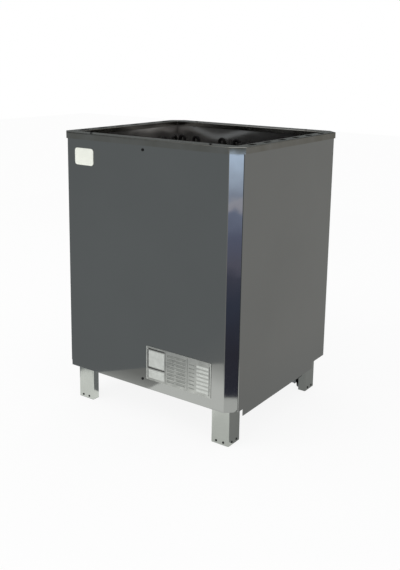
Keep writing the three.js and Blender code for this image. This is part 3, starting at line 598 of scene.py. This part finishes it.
class HEATER_OT_side_panels(bpy.types.Operator):
    """Cuts the flat side panels with their skirts"""

    bl_idname = "heater.side_panels"
    bl_label = "Side panels"

    def execute(self, context):
        for node, side in (("right_side_panel", 1), ("left_side_panel", -1)):
            low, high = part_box(node)
            outer = high.x if side > 0 else low.x
            drop = 95 * MM
            front, rear = -196 * MM, 150 * MM
            start, end = low.y - LAP, high.y + LAP
            outline = [(start, drop), (front, drop), (front, low.z), (rear, low.z), (rear, drop),
                       (end, drop), (end, high.z), (start, high.z)]
            panel = outlined_plate(f"{node}_sheet", [(outer, y, z) for y, z in outline],
                                   (-side * sizes().sheet, 0, 0))
            edit(panel)
            pick("EDGE", lambda edge, middle: close_to(middle.z, low.z, MM) and abs(
                edge.verts[0].co.x - edge.verts[1].co.x) > 0.5 * sizes().sheet)
            round_edges(2 * MM)
            leave_edit()
            soften(panel, sizes().edge)
            hand_over(panel, "polished sheet", node)
        return {"FINISHED"}


class HEATER_OT_top_rim(bpy.types.Operator):
    """Rounds the folded rim and its slots"""

    bl_idname = "heater.top_rim"
    bl_label = "Top rim"

    def execute(self, context):
        rim = merged_copy("top_rim", "top_rim_sheet")
        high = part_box("top_rim")[1]
        corner_round, fold_round = 1.6 * MM, 1.8 * MM
        corner_reach, corner_x = 300 * MM, 230 * MM
        edit(rim)
        pick("EDGE", lambda edge, middle: upright(edge) and middle.xy.length > corner_reach
             and abs(middle.x) > corner_x and len(edge.link_faces) == 2
             and edge.calc_face_angle() > 0.5)
        round_edges(corner_round)
        pick("EDGE", lambda edge, middle: level_at(edge, high.z) and self.on_fold(middle, high)
             and len(edge.link_faces) == 2 and edge.calc_face_angle() > 1)
        round_edges(fold_round)
        leave_edit()
        soften(rim, 0.25 * MM, angle=50)
        hand_over(rim, "polished rim", "top_rim")
        return {"FINISHED"}

    def on_fold(self, middle, high):
        """Whether an edge lies on the outer fold or the fold round the opening."""
        edge, corner_cut = 0.5 * MM, 28 * MM
        opening_x, opening_y = 232 * MM, 205 * MM
        outer = (abs(middle.x) > high.x - edge or abs(middle.y) > high.y - edge
                 or abs(middle.x) + abs(middle.y) > high.x + high.y - corner_cut)
        inner = (close_to(abs(middle.x), opening_x, MM) and abs(middle.y) < opening_y + MM) or (
            close_to(abs(middle.y), opening_y, MM) and abs(middle.x) < opening_x + MM)
        return outer or inner


class HEATER_OT_stone_liner(bpy.types.Operator):
    """Folds the wavy liner of the stone compartment, with its flanges, lips and ledges"""

    bl_idname = "heater.stone_liner"
    bl_label = "Stone liner"

    def execute(self, context):
        low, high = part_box("stone_liner")
        half_x, half_y = 233.8 * MM, 206.8 * MM
        flange_half, lip_drop = 200 * MM, 36 * MM
        liner = block((0, 0, (low.z + high.z) / 2), (2 * half_x, 2 * half_y, high.z - low.z))
        edit(liner)
        pick("FACE", lambda face, middle: abs(face.normal.z) > 0.9)
        bpy.ops.mesh.delete(type="ONLY_FACE")
        pick_all()
        bpy.ops.mesh.subdivide(number_cuts=90)
        leave_edit()
        self.wave(liner, half_x, half_y, high.z)
        edit(liner)
        for side in (-1, 1):
            pick("EDGE", lambda edge, middle: level_at(edge, high.z) and middle.y * side > half_y - MM
                 and abs(middle.x) < flange_half)
            out = side * (high.y - half_y - sizes().sheet)
            extrude((0, out, 0))
            extrude((0, 0, -lip_drop))
        leave_edit()
        apply_modifier(liner, "SOLIDIFY", thickness=sizes().sheet, offset=1)
        soften(liner, 0)
        ledges = [self.ledge(side, half_x) for side in (-1, 1)]
        whole = joined([liner, *ledges], "stone_liner_sheet")
        hand_over(whole, "liner sheet", "stone_liner")
        return {"FINISHED"}

    def crest(self, on_side, along):
        """Height of the crest that catches the light along a wall."""
        if on_side:
            return 683 * MM + 6 * MM * math.sin(along * 23) + 3 * MM * math.sin(along * 61)
        start, end = -0.21, 0.022
        return 675 * MM + 12 * MM * math.cos((min(max(along, start), end) - start) * 27)

    def wave(self, liner, half_x, half_y, top):
        """Pushes a crest and a lean into the walls, none at the folds and the top edge."""
        held, soft, deep, reach = 5 * MM, 6 * MM, 60 * MM, 80 * MM
        for corner in liner.data.vertices:
            x, y, z = corner.co
            on_side = abs(x) > half_x - 0.1 * MM
            along, span = (y, half_y) if on_side else (x, half_x)
            hold = max(0.0, 1 - (along / span) ** 8) * min(1.0, (top - z) / held)
            fade = min(1.0, max(0.0, (0.04 - along if on_side else along + 0.02) / reach))
            swell = (1 - fade) * (0.5 + 0.5 * math.tanh((z - self.crest(on_side, along)) / soft))
            lean = 1.2 * fade * min(1.0, (top - z) / deep)
            push = sizes().dent * hold * (0.2 + swell + lean + 0.2 * math.sin(along * 39 - z * 27))
            if on_side:
                corner.co.x += math.copysign(push, x)
            elif abs(y) > half_y - 0.1 * MM:
                corner.co.y += math.copysign(push, y)

    def ledge(self, side, half_x):
        """The strip on a side wall that carries the grate."""
        gap, inward = 0.3 * MM, 5.5 * MM
        width, length, thick = 12.5 * MM, 300 * MM, 2 * MM
        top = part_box("stone_grate")[0].z - gap
        ledge = block((side * (half_x - inward), 0, top - thick / 2), (width, length, thick))
        soften(ledge, 0.4 * MM)
        return ledge


class HEATER_OT_stone_grate(bpy.types.Operator):
    """Softens the slotted grate under the stones"""

    bl_idname = "heater.stone_grate"
    bl_label = "Stone grate"

    def execute(self, context):
        grate = merged_copy("stone_grate", "stone_grate_plate")
        soften(grate, 0.4 * MM, angle=50)
        hand_over(grate, "heat stained grate", "stone_grate")
        return {"FINISHED"}


class HEATER_OT_heating_elements(bpy.types.Operator):
    """Bends the smooth hairpin tubes and sets them in their collars"""

    bl_idname = "heater.heating_elements"
    bl_label = "Heating elements"

    # Where each element stands in millimetres, and its turn in degrees
    SITES = ((-92, 70, 0), (35, 70, 180), (-92, -70, 0), (35, -70, 180), (-117, 14, -90), (117, 14, -90))
    REACH = 30.5 * MM

    def tube(self):
        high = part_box("heating_element_1")[1]
        reach, inner = self.REACH, 14.5 * MM
        bend = (reach - inner) / 2
        foot = 140.6 * MM
        upper = high.z - sizes().tube - bend
        lower = 232 * MM
        tube = primitive("circle", vertices=16, radius=sizes().tube, fill_type="NGON",
                         location=(-reach, 0, foot))
        edit(tube)
        pick_all()
        self.run(upper - foot)
        self.arc(-(reach + inner) / 2, upper, math.pi)
        self.run(lower - upper)
        self.arc(0, lower, -math.pi)
        self.run(upper - lower)
        self.arc((reach + inner) / 2, upper, math.pi)
        self.run(foot - upper)
        close_up()
        soften(tube, 0)
        return tube

    def run(self, length):
        extrude((0, 0, length))

    def arc(self, x, z, angle):
        bpy.ops.mesh.spin(steps=14, angle=-angle, center=(x, 0, z), axis=(0, 1, 0))

    def fitting(self, x, pin):
        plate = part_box("element_plate")[1].z
        base = plate - 24 * MM
        nipple = lathed("nipple", [(0, base - pin), (2 * MM, base - pin), (2.5 * MM, base - pin + 0.5 * MM),
                                   (2.5 * MM, base), (5.4 * MM, base), (6 * MM, base + 0.6 * MM),
                                   (6 * MM, plate + 9 * MM), (5 * MM, plate + 10 * MM),
                                   (0, plate + 10 * MM)], 20)
        soften(nipple, 0)
        collar = drum(6, 9 * MM / math.cos(math.pi / 6), 7 * MM, plate + 3.8 * MM)
        soften(collar, 0.6 * MM, 3)
        whole = joined([nipple, collar], "fitting")
        whole.data.transform(Matrix.Translation((x, 0, 0)))
        return whole

    def execute(self, context):
        parts = [self.tube(), self.fitting(self.REACH, 16 * MM), self.fitting(-self.REACH, 26 * MM)]
        element = joined(parts, "heating_element_tube")
        places = {f"heating_element_{number}": about_z(turn, (x * MM, y * MM, 0))
                  for number, (x, y, turn) in enumerate(self.SITES, 1)}
        set_copies(element, "tube", "heat darkened tube", places)
        return {"FINISHED"}


class HEATER_OT_legs(bpy.types.Operator):
    """Folds the four legs with their top plates and foot lips"""

    bl_idname = "heater.legs"
    bl_label = "Legs"

    def execute(self, context):
        low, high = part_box("leg_front_right")
        half = (high.x - low.x) / 2
        return_width, lip_width, cap_height = 21 * MM, 10 * MM, 3 * MM
        back = half - return_width
        sheet = sizes().leg_sheet
        line = [(-half, -back), (-half, -half), (half, -half), (half, half), (back, half)]
        column = folded_sheet("leg", line, 0, high.z, Vector((0, -1, 0)))
        shape = bmesh.from_edit_mesh(column.data)
        front = min(shape.faces, key=lambda face: face.calc_center_median().y)
        if front.normal.y > 0:
            bpy.ops.mesh.flip_normals()
        round_folds(line, sizes().leg_bend)
        leave_edit()
        apply_modifier(column, "SOLIDIFY", thickness=sheet, offset=-1, use_even_offset=True)
        soften(column, sizes().edge)
        inside, lip_end = half - sheet, half - lip_width
        lip = outlined_plate("lip", [(-inside, -inside, 0), (inside, -inside, 0), (inside, inside, 0),
                                     (lip_end, inside, 0), (lip_end, -lip_end, 0),
                                     (-inside, -lip_end, 0)], (0, 0, sheet))
        soften(lip, sizes().edge)
        cap = block((0, 0, high.z - cap_height / 2), (2 * inside, 2 * inside, cap_height))
        soften(cap, sizes().edge)
        leg = joined([column, lip, cap], "leg_sheet")
        places = {f"leg_{corner}": standing(f"leg_{corner}", turn) for corner, turn in CORNERS.items()}
        set_copies(leg, "sheet", "polished leg", places)
        return {"FINISHED"}


class HEATER_OT_levelling_feet(bpy.types.Operator):
    """Turns the levelling feet with their threads"""

    bl_idname = "heater.levelling_feet"
    bl_label = "Levelling feet"

    def execute(self, context):
        low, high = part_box("levelling_foot_front_right")
        pad, pad_height, key_height = 13 * MM, 8 * MM, 8 * MM
        root, crest = 4.3 * MM, 4.95 * MM
        base, top = low.z, low.z + pad_height
        stem_top = high.z - key_height
        profile = [(0, base), (pad - 1.4 * MM, base), (pad - 0.4 * MM, base + 0.5 * MM),
                   (pad, base + 2 * MM), (pad, top - 2 * MM), (pad - 0.8 * MM, top - 0.6 * MM),
                   (pad - 2.5 * MM, top), (crest, top)]
        height = top + sizes().thread
        while height < stem_top - 2 * sizes().thread:
            profile += [(root, height), (crest, height + sizes().thread / 2)]
            height += sizes().thread
        profile += [(root, stem_top - MM), (root - 0.5 * MM, stem_top), (0, stem_top)]
        foot = lathed("foot", profile, 28)
        soften(foot, 0, angle=32)
        key = drum(6, 3.5 * MM / math.cos(math.pi / 6), 8.4 * MM, high.z - 4.2 * MM)
        soften(key, 0.4 * MM, 3)
        foot = joined([foot, key], "levelling_foot")
        nodes = [f"levelling_foot_{corner}" for corner in CORNERS]
        places = {node: standing(node) for node in nodes}
        set_copies(foot, "turned", "zinc plate", places, moving=True)
        return {"FINISHED"}


class HEATER_OT_rating_plate(bpy.types.Operator):
    """Makes the rating plate with blank ruled fields and its rivets"""

    bl_idname = "heater.rating_plate"
    bl_label = "Rating plate"

    def bars(self):
        """Ink bars, pale and grey blank fields as left, right, bottom and top in millimetres."""
        ink = [(4, 56, 77.5, 80.5), (4, 6.4, 31, 80.5), (4, 56, 30, 32.8), (57.5, 58.3, 4, 81),
               (121.5, 122.3, 4, 81), (183.2, 184.6, 5, 80)]
        ink += [(62, 117.5, z, z + 0.7) for z in (12, 21, 30, 39, 48, 57, 66, 75)]
        pale = [(8, 54, 35, 75), (8, 54, 6, 27), (1.2, 2.4, 1.2, 83.8), (185.6, 186.8, 1.2, 83.8)]
        grey = []
        for row in range(7):
            z = 8 + row * 9.6
            pale.append((148, 181, z, z + 5.4))
            grey.append((126, 142, z + 1.4, z + 4))
        for row in range(8):
            z = 5.5 + row * 9
            grey += [(63, 84, z + 2, z + 5), (89, 116, z + 2, z + 5)]
        return ink, pale, grey

    def execute(self, context):
        low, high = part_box("rating_plate")
        skin = high.y - 0.8 * MM
        plate = block(((low.x + high.x) / 2, (high.y + skin) / 2, (low.z + high.z) / 2),
                      (high.x - low.x, high.y - skin, high.z - low.z))
        edit(plate)
        pick("EDGE", front_to_back)
        round_edges(2 * MM)
        ink, pale, grey = self.bars()
        fields = ink + pale + grey
        self.rule(low, skin, {v for bar in fields for v in bar[:2]}, (1, 0, 0))
        self.rule(low, skin, {v for bar in fields for v in bar[2:]}, (0, 0, 1))
        leave_edit()
        for name in ("plate metal", "plate field", "plate grey", "plate ink"):
            plate.data.materials.append(finish(name))
        for face in plate.data.polygons:
            x, z = (face.center.x - low.x) / MM, (face.center.z - low.z) / MM
            for index, bars in enumerate((pale, grey, ink), 1):
                if faces_front(face) and any(a < x < b and c < z < d for a, b, c, d in bars):
                    face.material_index = index
        rivets = [self.rivet(x, skin, z) for x in (low.x + 5 * MM, high.x - 5 * MM)
                  for z in (low.z + 5 * MM, high.z - 5 * MM)]
        whole = joined([plate, *rivets], "rating_plate_blank")
        hand_over(whole, "plate metal", "rating_plate")
        return {"FINISHED"}

    def rule(self, low, skin, places, way):
        """Scores the front of the plate along each line that bounds a field."""
        for place in sorted(places):
            pick("FACE", faces_front)
            at = Vector((low.x, skin, low.z)) + Vector(way) * place * MM
            bpy.ops.mesh.bisect(plane_co=at, plane_no=way, threshold=FINE)

    def rivet(self, x, skin, z):
        rivet = lathed("rivet", in_mm((0, 0), (2.5, 0), (2.4, 0.4), (1.7, 0.7), (0.8, 0.8), (0, 0.8)), 16)
        rivet.data.transform(Matrix.Translation((x, skin, z)) @ Matrix.Rotation(math.pi / 2, 4, "X"))
        soften(rivet, 0)
        rivet.data.materials.append(finish("plate metal"))
        return rivet


class HEATER_OT_badge(bpy.types.Operator):
    """Makes the bare badge with its rounded corners and narrow border"""

    bl_idname = "heater.badge"
    bl_label = "Badge"

    def execute(self, context):
        low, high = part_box("badge")
        badge = block((low + high) / 2, high - low)
        badge.name = "badge_blank"
        edit(badge)
        pick("EDGE", front_to_back)
        round_edges(7 * MM, 8)
        pick("FACE", faces_front)
        bpy.ops.mesh.inset(thickness=1.4 * MM, depth=0)
        bpy.ops.mesh.inset(thickness=0.4 * MM, depth=-0.25 * MM)
        leave_edit()
        soften(badge, 0.2 * MM, angle=30)
        hand_over(badge, "badge enamel", "badge")
        return {"FINISHED"}


class HEATER_OT_screws(bpy.types.Operator):
    """Turns one pan head screw with a cross recess and sets a copy at each place"""

    bl_idname = "heater.screws"
    bl_label = "Screws"

    def model(self):
        profile = in_mm((0, -9), (1.4, -8.4), (1.95, -7.6), (1.95, 0.3), (3.5, 0.3), (3.5, 0.8),
                        (3.2, 1.4), (2.5, 1.8), (1.4, 1.9), (0, 1.9))
        screw = lathed("screw", profile, 24)
        for turn in (0, math.pi / 2):
            cutter = block((0, 0, 1.6 * MM), (3.6 * MM, 0.8 * MM, 1.4 * MM), turn)
            cut(screw, cutter)
        soften(screw, 0, angle=35)
        return screw

    def execute(self, context):
        screw = self.model()
        head = 1.9 * MM
        aims = {"front": Matrix.Rotation(math.pi / 2, 4, "X"), "rim": Matrix.Identity(4),
                "back": Matrix.Rotation(-math.pi / 2, 4, "X"), "cover": Matrix.Rotation(math.pi, 4, "X")}
        places = {}
        for node in sorted(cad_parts):
            kind = node.split("_")[0]
            if "screw" not in node or kind not in aims:
                continue
            low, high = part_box(node)
            aim = aims[kind]
            ahead = aim.to_3x3() @ Vector((0, 0, 1))
            length = abs((high - low).dot(ahead))
            seat = (low + high) / 2 + ahead * (length / 2 - head)
            places[node] = Matrix.Translation(seat) @ aim
        set_copies(screw, "head", "dark screw", places)
        return {"FINISHED"}


class HEATER_OT_cable_gland(bpy.types.Operator):
    """Turns the cable gland with its ribbed dome nut"""

    bl_idname = "heater.cable_gland"
    bl_label = "Cable gland"

    def execute(self, context):
        low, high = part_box("cable_gland_nut")
        seat = Vector(((low.x + high.x) / 2, 0, (low.z + high.z) / 2))
        aim = Matrix.Rotation(-math.pi / 2, 4, "X")
        dome = in_mm((7, 0), (12.6, 0), (13.1, 0.6), (13.1, 16), (12.9, 18), (12.2, 21.5), (10.9, 25),
                     (9.7, 26.6), (8.6, 27), (7, 26.4), (7, 0))
        nut = lathed("cable_gland_nut_ribbed", dome, 36)
        edit(nut)
        pick("FACE", lambda face, at: 2 * MM < at.z < 15 * MM and at.xy.length > 12.8 * MM
             and round(math.degrees(math.atan2(at.y, at.x)) / 10 - 0.5) % 2 == 0)
        bpy.ops.mesh.inset(thickness=0.3 * MM, depth=0.35 * MM, use_individual=True)
        leave_edit()
        soften(nut, 0, angle=35)
        nut.data.transform(Matrix.Translation((seat.x, low.y, seat.z)) @ aim)
        hand_over(nut, "gland plastic", "cable_gland_nut")
        inner_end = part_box("cable_gland_body")[0].y
        crest, root = 9.9 * MM, 9.2 * MM
        thread = in_mm((7, -12), (9.2, -12))
        height = -11.5 * MM
        while height < -0.6 * MM:
            thread += [(crest, height), (root, height + sizes().thread / 2)]
            height += sizes().thread
        thread += in_mm((9.9, 0.3), (9.9, 9), (11, 9.3), (11, 17.3), (7, 17.3), (7, -12))
        body = lathed("gland_core", thread, 32)
        soften(body, 0, angle=35)
        flange = drum(6, 12.5 * MM / math.cos(math.pi / 6), 9 * MM, 4.8 * MM)
        drill = drum(32, 9.6 * MM, 20 * MM, 4.8 * MM)
        cut(flange, drill)
        soften(flange, 0.6 * MM, 3)
        whole = joined([body, flange], "cable_gland_body_turned")
        whole.data.transform(Matrix.Translation((seat.x, inner_end + 12 * MM, seat.z)) @ aim)
        hand_over(whole, "gland plastic", "cable_gland_body")
        return {"FINISHED"}


class HEATER_OT_inner_works(bpy.types.Operator):
    """Softens the tray, the wiring box and the hardware, and finishes the wiring"""

    bl_idname = "heater.inner_works"
    bl_label = "Inner works"

    SOFT = {
        "base_tray": ("galvanised sheet", 0.3),
        "terminal_box": ("galvanised sheet", 0.3),
        "element_plate": ("galvanised sheet", 0.4),
        "terminal_cover": ("galvanised sheet", 0.4),
        "star_link": ("bare link", 0.3),
        "terminal_block": ("terminal ceramic", 0.6),
    }

    def execute(self, context):
        jobs = dict(self.SOFT)
        jobs.update({f"phase_link_{i}": ("bare link", 0.3) for i in (1, 2, 3)})
        jobs.update({f"element_clamp_{i}": ("zinc plate", 0.3) for i in range(1, 7)})
        for corner in CORNERS:
            jobs[f"leg_bolt_{corner}"] = ("zinc plate", 0.4)
            jobs[f"foot_bracket_{corner}"] = ("dark screw", 0.2)
        for node, (look, width) in jobs.items():
            piece = merged_copy(node, f"{node}_soft")
            soften(piece, width * MM, angle=50)
            hand_over(piece, look, node)
        for number in (1, 2, 3):
            node = f"phase_wire_{number}"
            wire = merged_copy(node, f"{node}_sleeve")
            apply_modifier(wire, "SUBSURF", levels=1, render_levels=1)
            soften(wire, 0, angle=60)
            hand_over(wire, "woven sleeve", node)
        return {"FINISHED"}


class HEATER_OT_stage(bpy.types.Operator):
    """Sets up the floor, the grey surroundings and the painted reflections that the polish shows, the light
    and the camera
    """

    bl_idname = "heater.stage"
    bl_label = "Stage"

    WHITE_SHARE = 0.88
    # Outlines in metres of the glowing floor sheets that only the polish shows: painted reflections of a
    # bright floor
    PAPER = ((-0.345, -0.17), (-0.345, -0.35), (-0.15, -0.36), (-0.115, -0.42), (-0.10, -0.62),
             (-0.05, -0.67), (0.60, -0.67), (0.56, -0.30), (0.36, -0.17), (0.285, -0.20), (0.0, -0.17))
    PAPER_NEAR = ((0.09, -0.405), (0.59, -0.405), (0.56, -0.30), (0.36, -0.17), (0.285, -0.20),
                  (0.16, -0.19))
    PAPER_SIDE = ((-0.115, -0.361), (-0.101, -0.60), (-0.20, -0.52), (-0.30, -0.40), (-0.33, -0.352))

    def seen(self, tree):
        """1 for rays that come straight from the camera or through a mirror or clear matter."""
        rays = add_node(tree, "LightPath")
        total = rays.outputs["Is Camera Ray"]
        for kind in ("Is Glossy Ray", "Is Transmission Ray"):
            either = calculation(tree, "MAXIMUM")
            tree.links.new(total, either.inputs[0])
            tree.links.new(rays.outputs[kind], either.inputs[1])
            total = either.outputs["Value"]
        return total

    def floor(self):
        floor = primitive("plane", size=14, location=(0, 0, 0))
        floor.name = "floor"
        paint = bpy.data.materials.new("pale floor")
        paint.use_nodes = True
        tree = paint.node_tree
        shader = tree.nodes["Principled BSDF"]
        set_inputs(shader, Base_Color=(0.92, 0.92, 0.92, 1), Roughness=0.9)
        white = add_node(tree, "Emission", Strength=1)
        share = calculation(tree, "MULTIPLY", self.WHITE_SHARE)
        mix = add_node(tree, "MixShader")
        link = tree.links.new
        link(self.seen(tree), share.inputs[0])
        link(share.outputs["Value"], mix.inputs["Fac"])
        link(shader.outputs["BSDF"], mix.inputs[1])
        link(white.outputs["Emission"], mix.inputs[2])
        link(mix.outputs["Shader"], tree.nodes["Material Output"].inputs["Surface"])
        floor.data.materials.append(paint)

    def glow(self, name, coordinate, stops, drift=0.0):
        """A plain glow that changes along one direction, with drifting edges."""
        made = bpy.data.materials.new(name)
        made.use_nodes = True
        tree = made.node_tree
        tree.nodes.remove(tree.nodes["Principled BSDF"])
        (start, first), (end, last) = stops[0], stops[-1]
        place = add_node(tree, "TexCoord").outputs["Object"]
        split = add_node(tree, "SeparateXYZ")
        cloud = add_node(tree, "TexNoise", Scale=22, Detail=6)
        sway = calculation(tree, "MULTIPLY_ADD", drift)
        level = calculation(tree, "SUBTRACT", drift / 2)
        spread = add_node(tree, "MapRange", From_Min=start, From_Max=end)
        ramp = add_node(tree, "ValToRGB")
        light = add_node(tree, "Emission")
        link = tree.links.new
        link(place, split.inputs["Vector"])
        link(place, cloud.inputs["Vector"])
        link(cloud.outputs["Fac"], sway.inputs[0])
        link(split.outputs[coordinate], sway.inputs[2])
        link(sway.outputs["Value"], level.inputs[0])
        link(level.outputs["Value"], spread.inputs["Value"])
        link(spread.outputs["Result"], ramp.inputs["Fac"])
        link(ramp.outputs["Color"], light.inputs["Color"])
        link(light.outputs["Emission"], tree.nodes["Material Output"].inputs["Surface"])
        bands = ramp.color_ramp.elements
        bands[0].color = (*first, 1)
        bands[1].color = (*last, 1)
        for at, colour in stops[1:-1]:
            bands.new((at - start) / (end - start)).color = (*colour, 1)
        return made

    def only_in_reflections(self, piece, look):
        piece.data.materials.clear()
        piece.data.materials.append(look)
        for kind in ("camera", "diffuse", "transmission", "volume_scatter", "shadow"):
            setattr(piece, f"visible_{kind}", False)

    def paper(self, name, outline, levels, height=0.8 * MM):
        """A glowing sheet on the floor that only the polish shows, graded from front to back: a painted
        reflection of a bright floor.
        """
        sheet = outlined_plate(name, [(x, y, height) for x, y in outline], (0, 0, 0.2 * MM))
        stops = [(y, (level, 1.02 * level, 0.98 * level)) for y, level in levels]
        self.only_in_reflections(sheet, self.glow(name, "Y", stops, 0.03))

    def surroundings(self):
        # Grey glow seen only in reflections, lighter towards +X: a painted reflection that sets how dark
        # the polish reads. Its ground sheet hides the pale floor from the polish.
        grey = self.glow("grey studio", "X", [(-0.2, (0.217, 0.233, 0.238)), (0.5, (0.317, 0.317, 0.306))])
        walls = primitive("cylinder", vertices=64, radius=2.4, depth=2.8, end_fill_type="NOTHING",
                          location=(0, 0, 1.4))
        walls.name = "studio_walls"
        self.only_in_reflections(walls, grey)
        ground = block((0, 0, 0.5 * MM), (5, 5, 0.4 * MM))
        ground.name = "studio_ground"
        self.only_in_reflections(ground, grey)
        # Painted floor reflections: glowing sheets whose levels set the bright zones low on the panels and
        # legs
        self.paper("studio_paper", self.PAPER, [
            (-0.67, 0.5), (-0.642, 0.57), (-0.608, 0.69), (-0.574, 0.81), (-0.54, 0.94), (-0.5, 1.0),
            (-0.17, 1.06)])
        self.paper("studio_paper_side", self.PAPER_SIDE, [
            (-0.6, 0.23), (-0.466, 0.32), (-0.43, 0.42), (-0.404, 0.55), (-0.35, 0.9)])
        self.paper("studio_paper_near", self.PAPER_NEAR, [(-0.405, 0.84), (-0.17, 0.74)], 1.2 * MM)
        # A glowing card beside the front right corner strip, seen only in reflections: a painted reflection
        # in bands from pale blue to navy that the corner strip shows
        chamfer_reflection_glow = self.glow("window card", "Z", [
            (0.0, (0.042, 0.044, 0.068)), (0.12, (0.05, 0.05, 0.07)), (0.262, (0.065, 0.076, 0.115)),
            (0.33, (0.1, 0.105, 0.15)), (0.361, (0.168, 0.168, 0.226)), (0.43, (0.181, 0.2, 0.298)),
            (0.49, (0.28, 0.32, 0.45)), (0.505, (0.53, 0.53, 0.62)), (0.527, (0.57, 0.58, 0.67)),
            (0.546, (0.43, 0.49, 0.63)), (0.6, (0.69, 0.82, 1.03)),
            (0.643, (0.92, 1.13, 1.43)), (0.651, (0.1, 0.1, 0.07)), (0.72, (0.08, 0.08, 0.06))], 0.06)
        lean, facing = 0.0167, math.atan2(0.846, 0.533)
        clear_selection()
        bpy.ops.mesh.primitive_plane_add(size=1, location=(0.489, -0.38, 0.36),
                                         rotation=(math.pi / 2 + lean, 0, facing))
        card = bpy.context.object
        card.scale = (0.12, 0.72, 1)
        settle(card)
        card.name = "studio_card"
        self.only_in_reflections(card, chamfer_reflection_glow)

    def light(self):
        world = bpy.data.worlds.new("white room")
        bpy.context.scene.world = world
        world.use_nodes = True
        tree = world.node_tree
        fill = tree.nodes["Background"]
        set_inputs(fill, Color=(1, 1, 1, 1), Strength=studio().fill)
        white = add_node(tree, "Background", Color=(1, 1, 1, 1), Strength=1)
        mix = add_node(tree, "MixShader")
        link = tree.links.new
        link(self.seen(tree), mix.inputs["Fac"])
        link(fill.outputs["Background"], mix.inputs[1])
        link(white.outputs["Background"], mix.inputs[2])
        link(mix.outputs["Shader"], tree.nodes["World Output"].inputs["Surface"])
        clear_selection()
        bpy.ops.object.light_add(type="AREA", location=(-1.2, -2.6, 2.9))
        key = bpy.context.object
        key.name = "soft_key"
        key.data.energy = studio().key
        key.data.size = 2.2
        key.visible_glossy = False
        aim = Vector((0, 0, 0.35)) - key.location
        key.rotation_mode = "QUATERNION"
        key.rotation_quaternion = aim.to_track_quat("-Z", "Y")

    def camera(self):
        view = studio()
        lens = bpy.data.cameras.new("photo camera")
        camera = new_object("photo_camera", lens)
        lens.sensor_width = 36
        lens.lens = view.lens
        lens.shift_y = view.shift
        lens.clip_start, lens.clip_end = 0.05, 50
        turn = (Matrix.Rotation(view.yaw, 4, "Z") @ Matrix.Rotation(math.pi / 2 - view.pitch, 4, "X")
                @ Matrix.Rotation(view.roll, 4, "Z"))
        camera.matrix_world = Matrix.Translation(view.place) @ turn
        bpy.context.scene.camera = camera

    def execute(self, context):
        context.scene.view_settings.view_transform = "Standard"
        self.floor()
        self.surroundings()
        self.light()
        self.camera()
        return {"FINISHED"}


class HEATER_PT_pieces(bpy.types.Panel):
    """Lists the heater's pieces in the sidebar"""

    bl_idname = "HEATER_PT_pieces"
    bl_label = "Sauna heater"
    bl_space_type = "VIEW_3D"
    bl_region_type = "UI"
    bl_category = "Heater"

    def draw(self, context):
        column = self.layout.column()
        for piece in PIECES:
            column.operator(piece.bl_idname)
        for group in (context.scene.heater_sizes, context.scene.heater_colours,
                      context.scene.heater_studio):
            for name in group.__annotations__:
                column.prop(group, name)


PIECES = (
    HEATER_OT_stage, HEATER_OT_folded_panels, HEATER_OT_side_panels, HEATER_OT_top_rim,
    HEATER_OT_stone_liner, HEATER_OT_stone_grate, HEATER_OT_heating_elements, HEATER_OT_legs,
    HEATER_OT_levelling_feet, HEATER_OT_rating_plate, HEATER_OT_badge, HEATER_OT_screws,
    HEATER_OT_cable_gland, HEATER_OT_inner_works,
)
CLASSES = (HeaterSizes, HeaterColours, StudioSettings, *PIECES, HEATER_PT_pieces)


def register():
    for item in CLASSES:
        bpy.utils.register_class(item)
    bpy.types.Scene.heater_sizes = bpy.props.PointerProperty(type=HeaterSizes)
    bpy.types.Scene.heater_colours = bpy.props.PointerProperty(type=HeaterColours)
    bpy.types.Scene.heater_studio = bpy.props.PointerProperty(type=StudioSettings)


def unregister():
    del bpy.types.Scene.heater_studio
    del bpy.types.Scene.heater_colours
    del bpy.types.Scene.heater_sizes
    for item in reversed(CLASSES):
        bpy.utils.unregister_class(item)


def main():
    register()
    for piece in PIECES:
        area, action = piece.bl_idname.split(".")
        getattr(getattr(bpy.ops, area), action)()
    clear_selection()


if __name__ == "__main__":
    main()
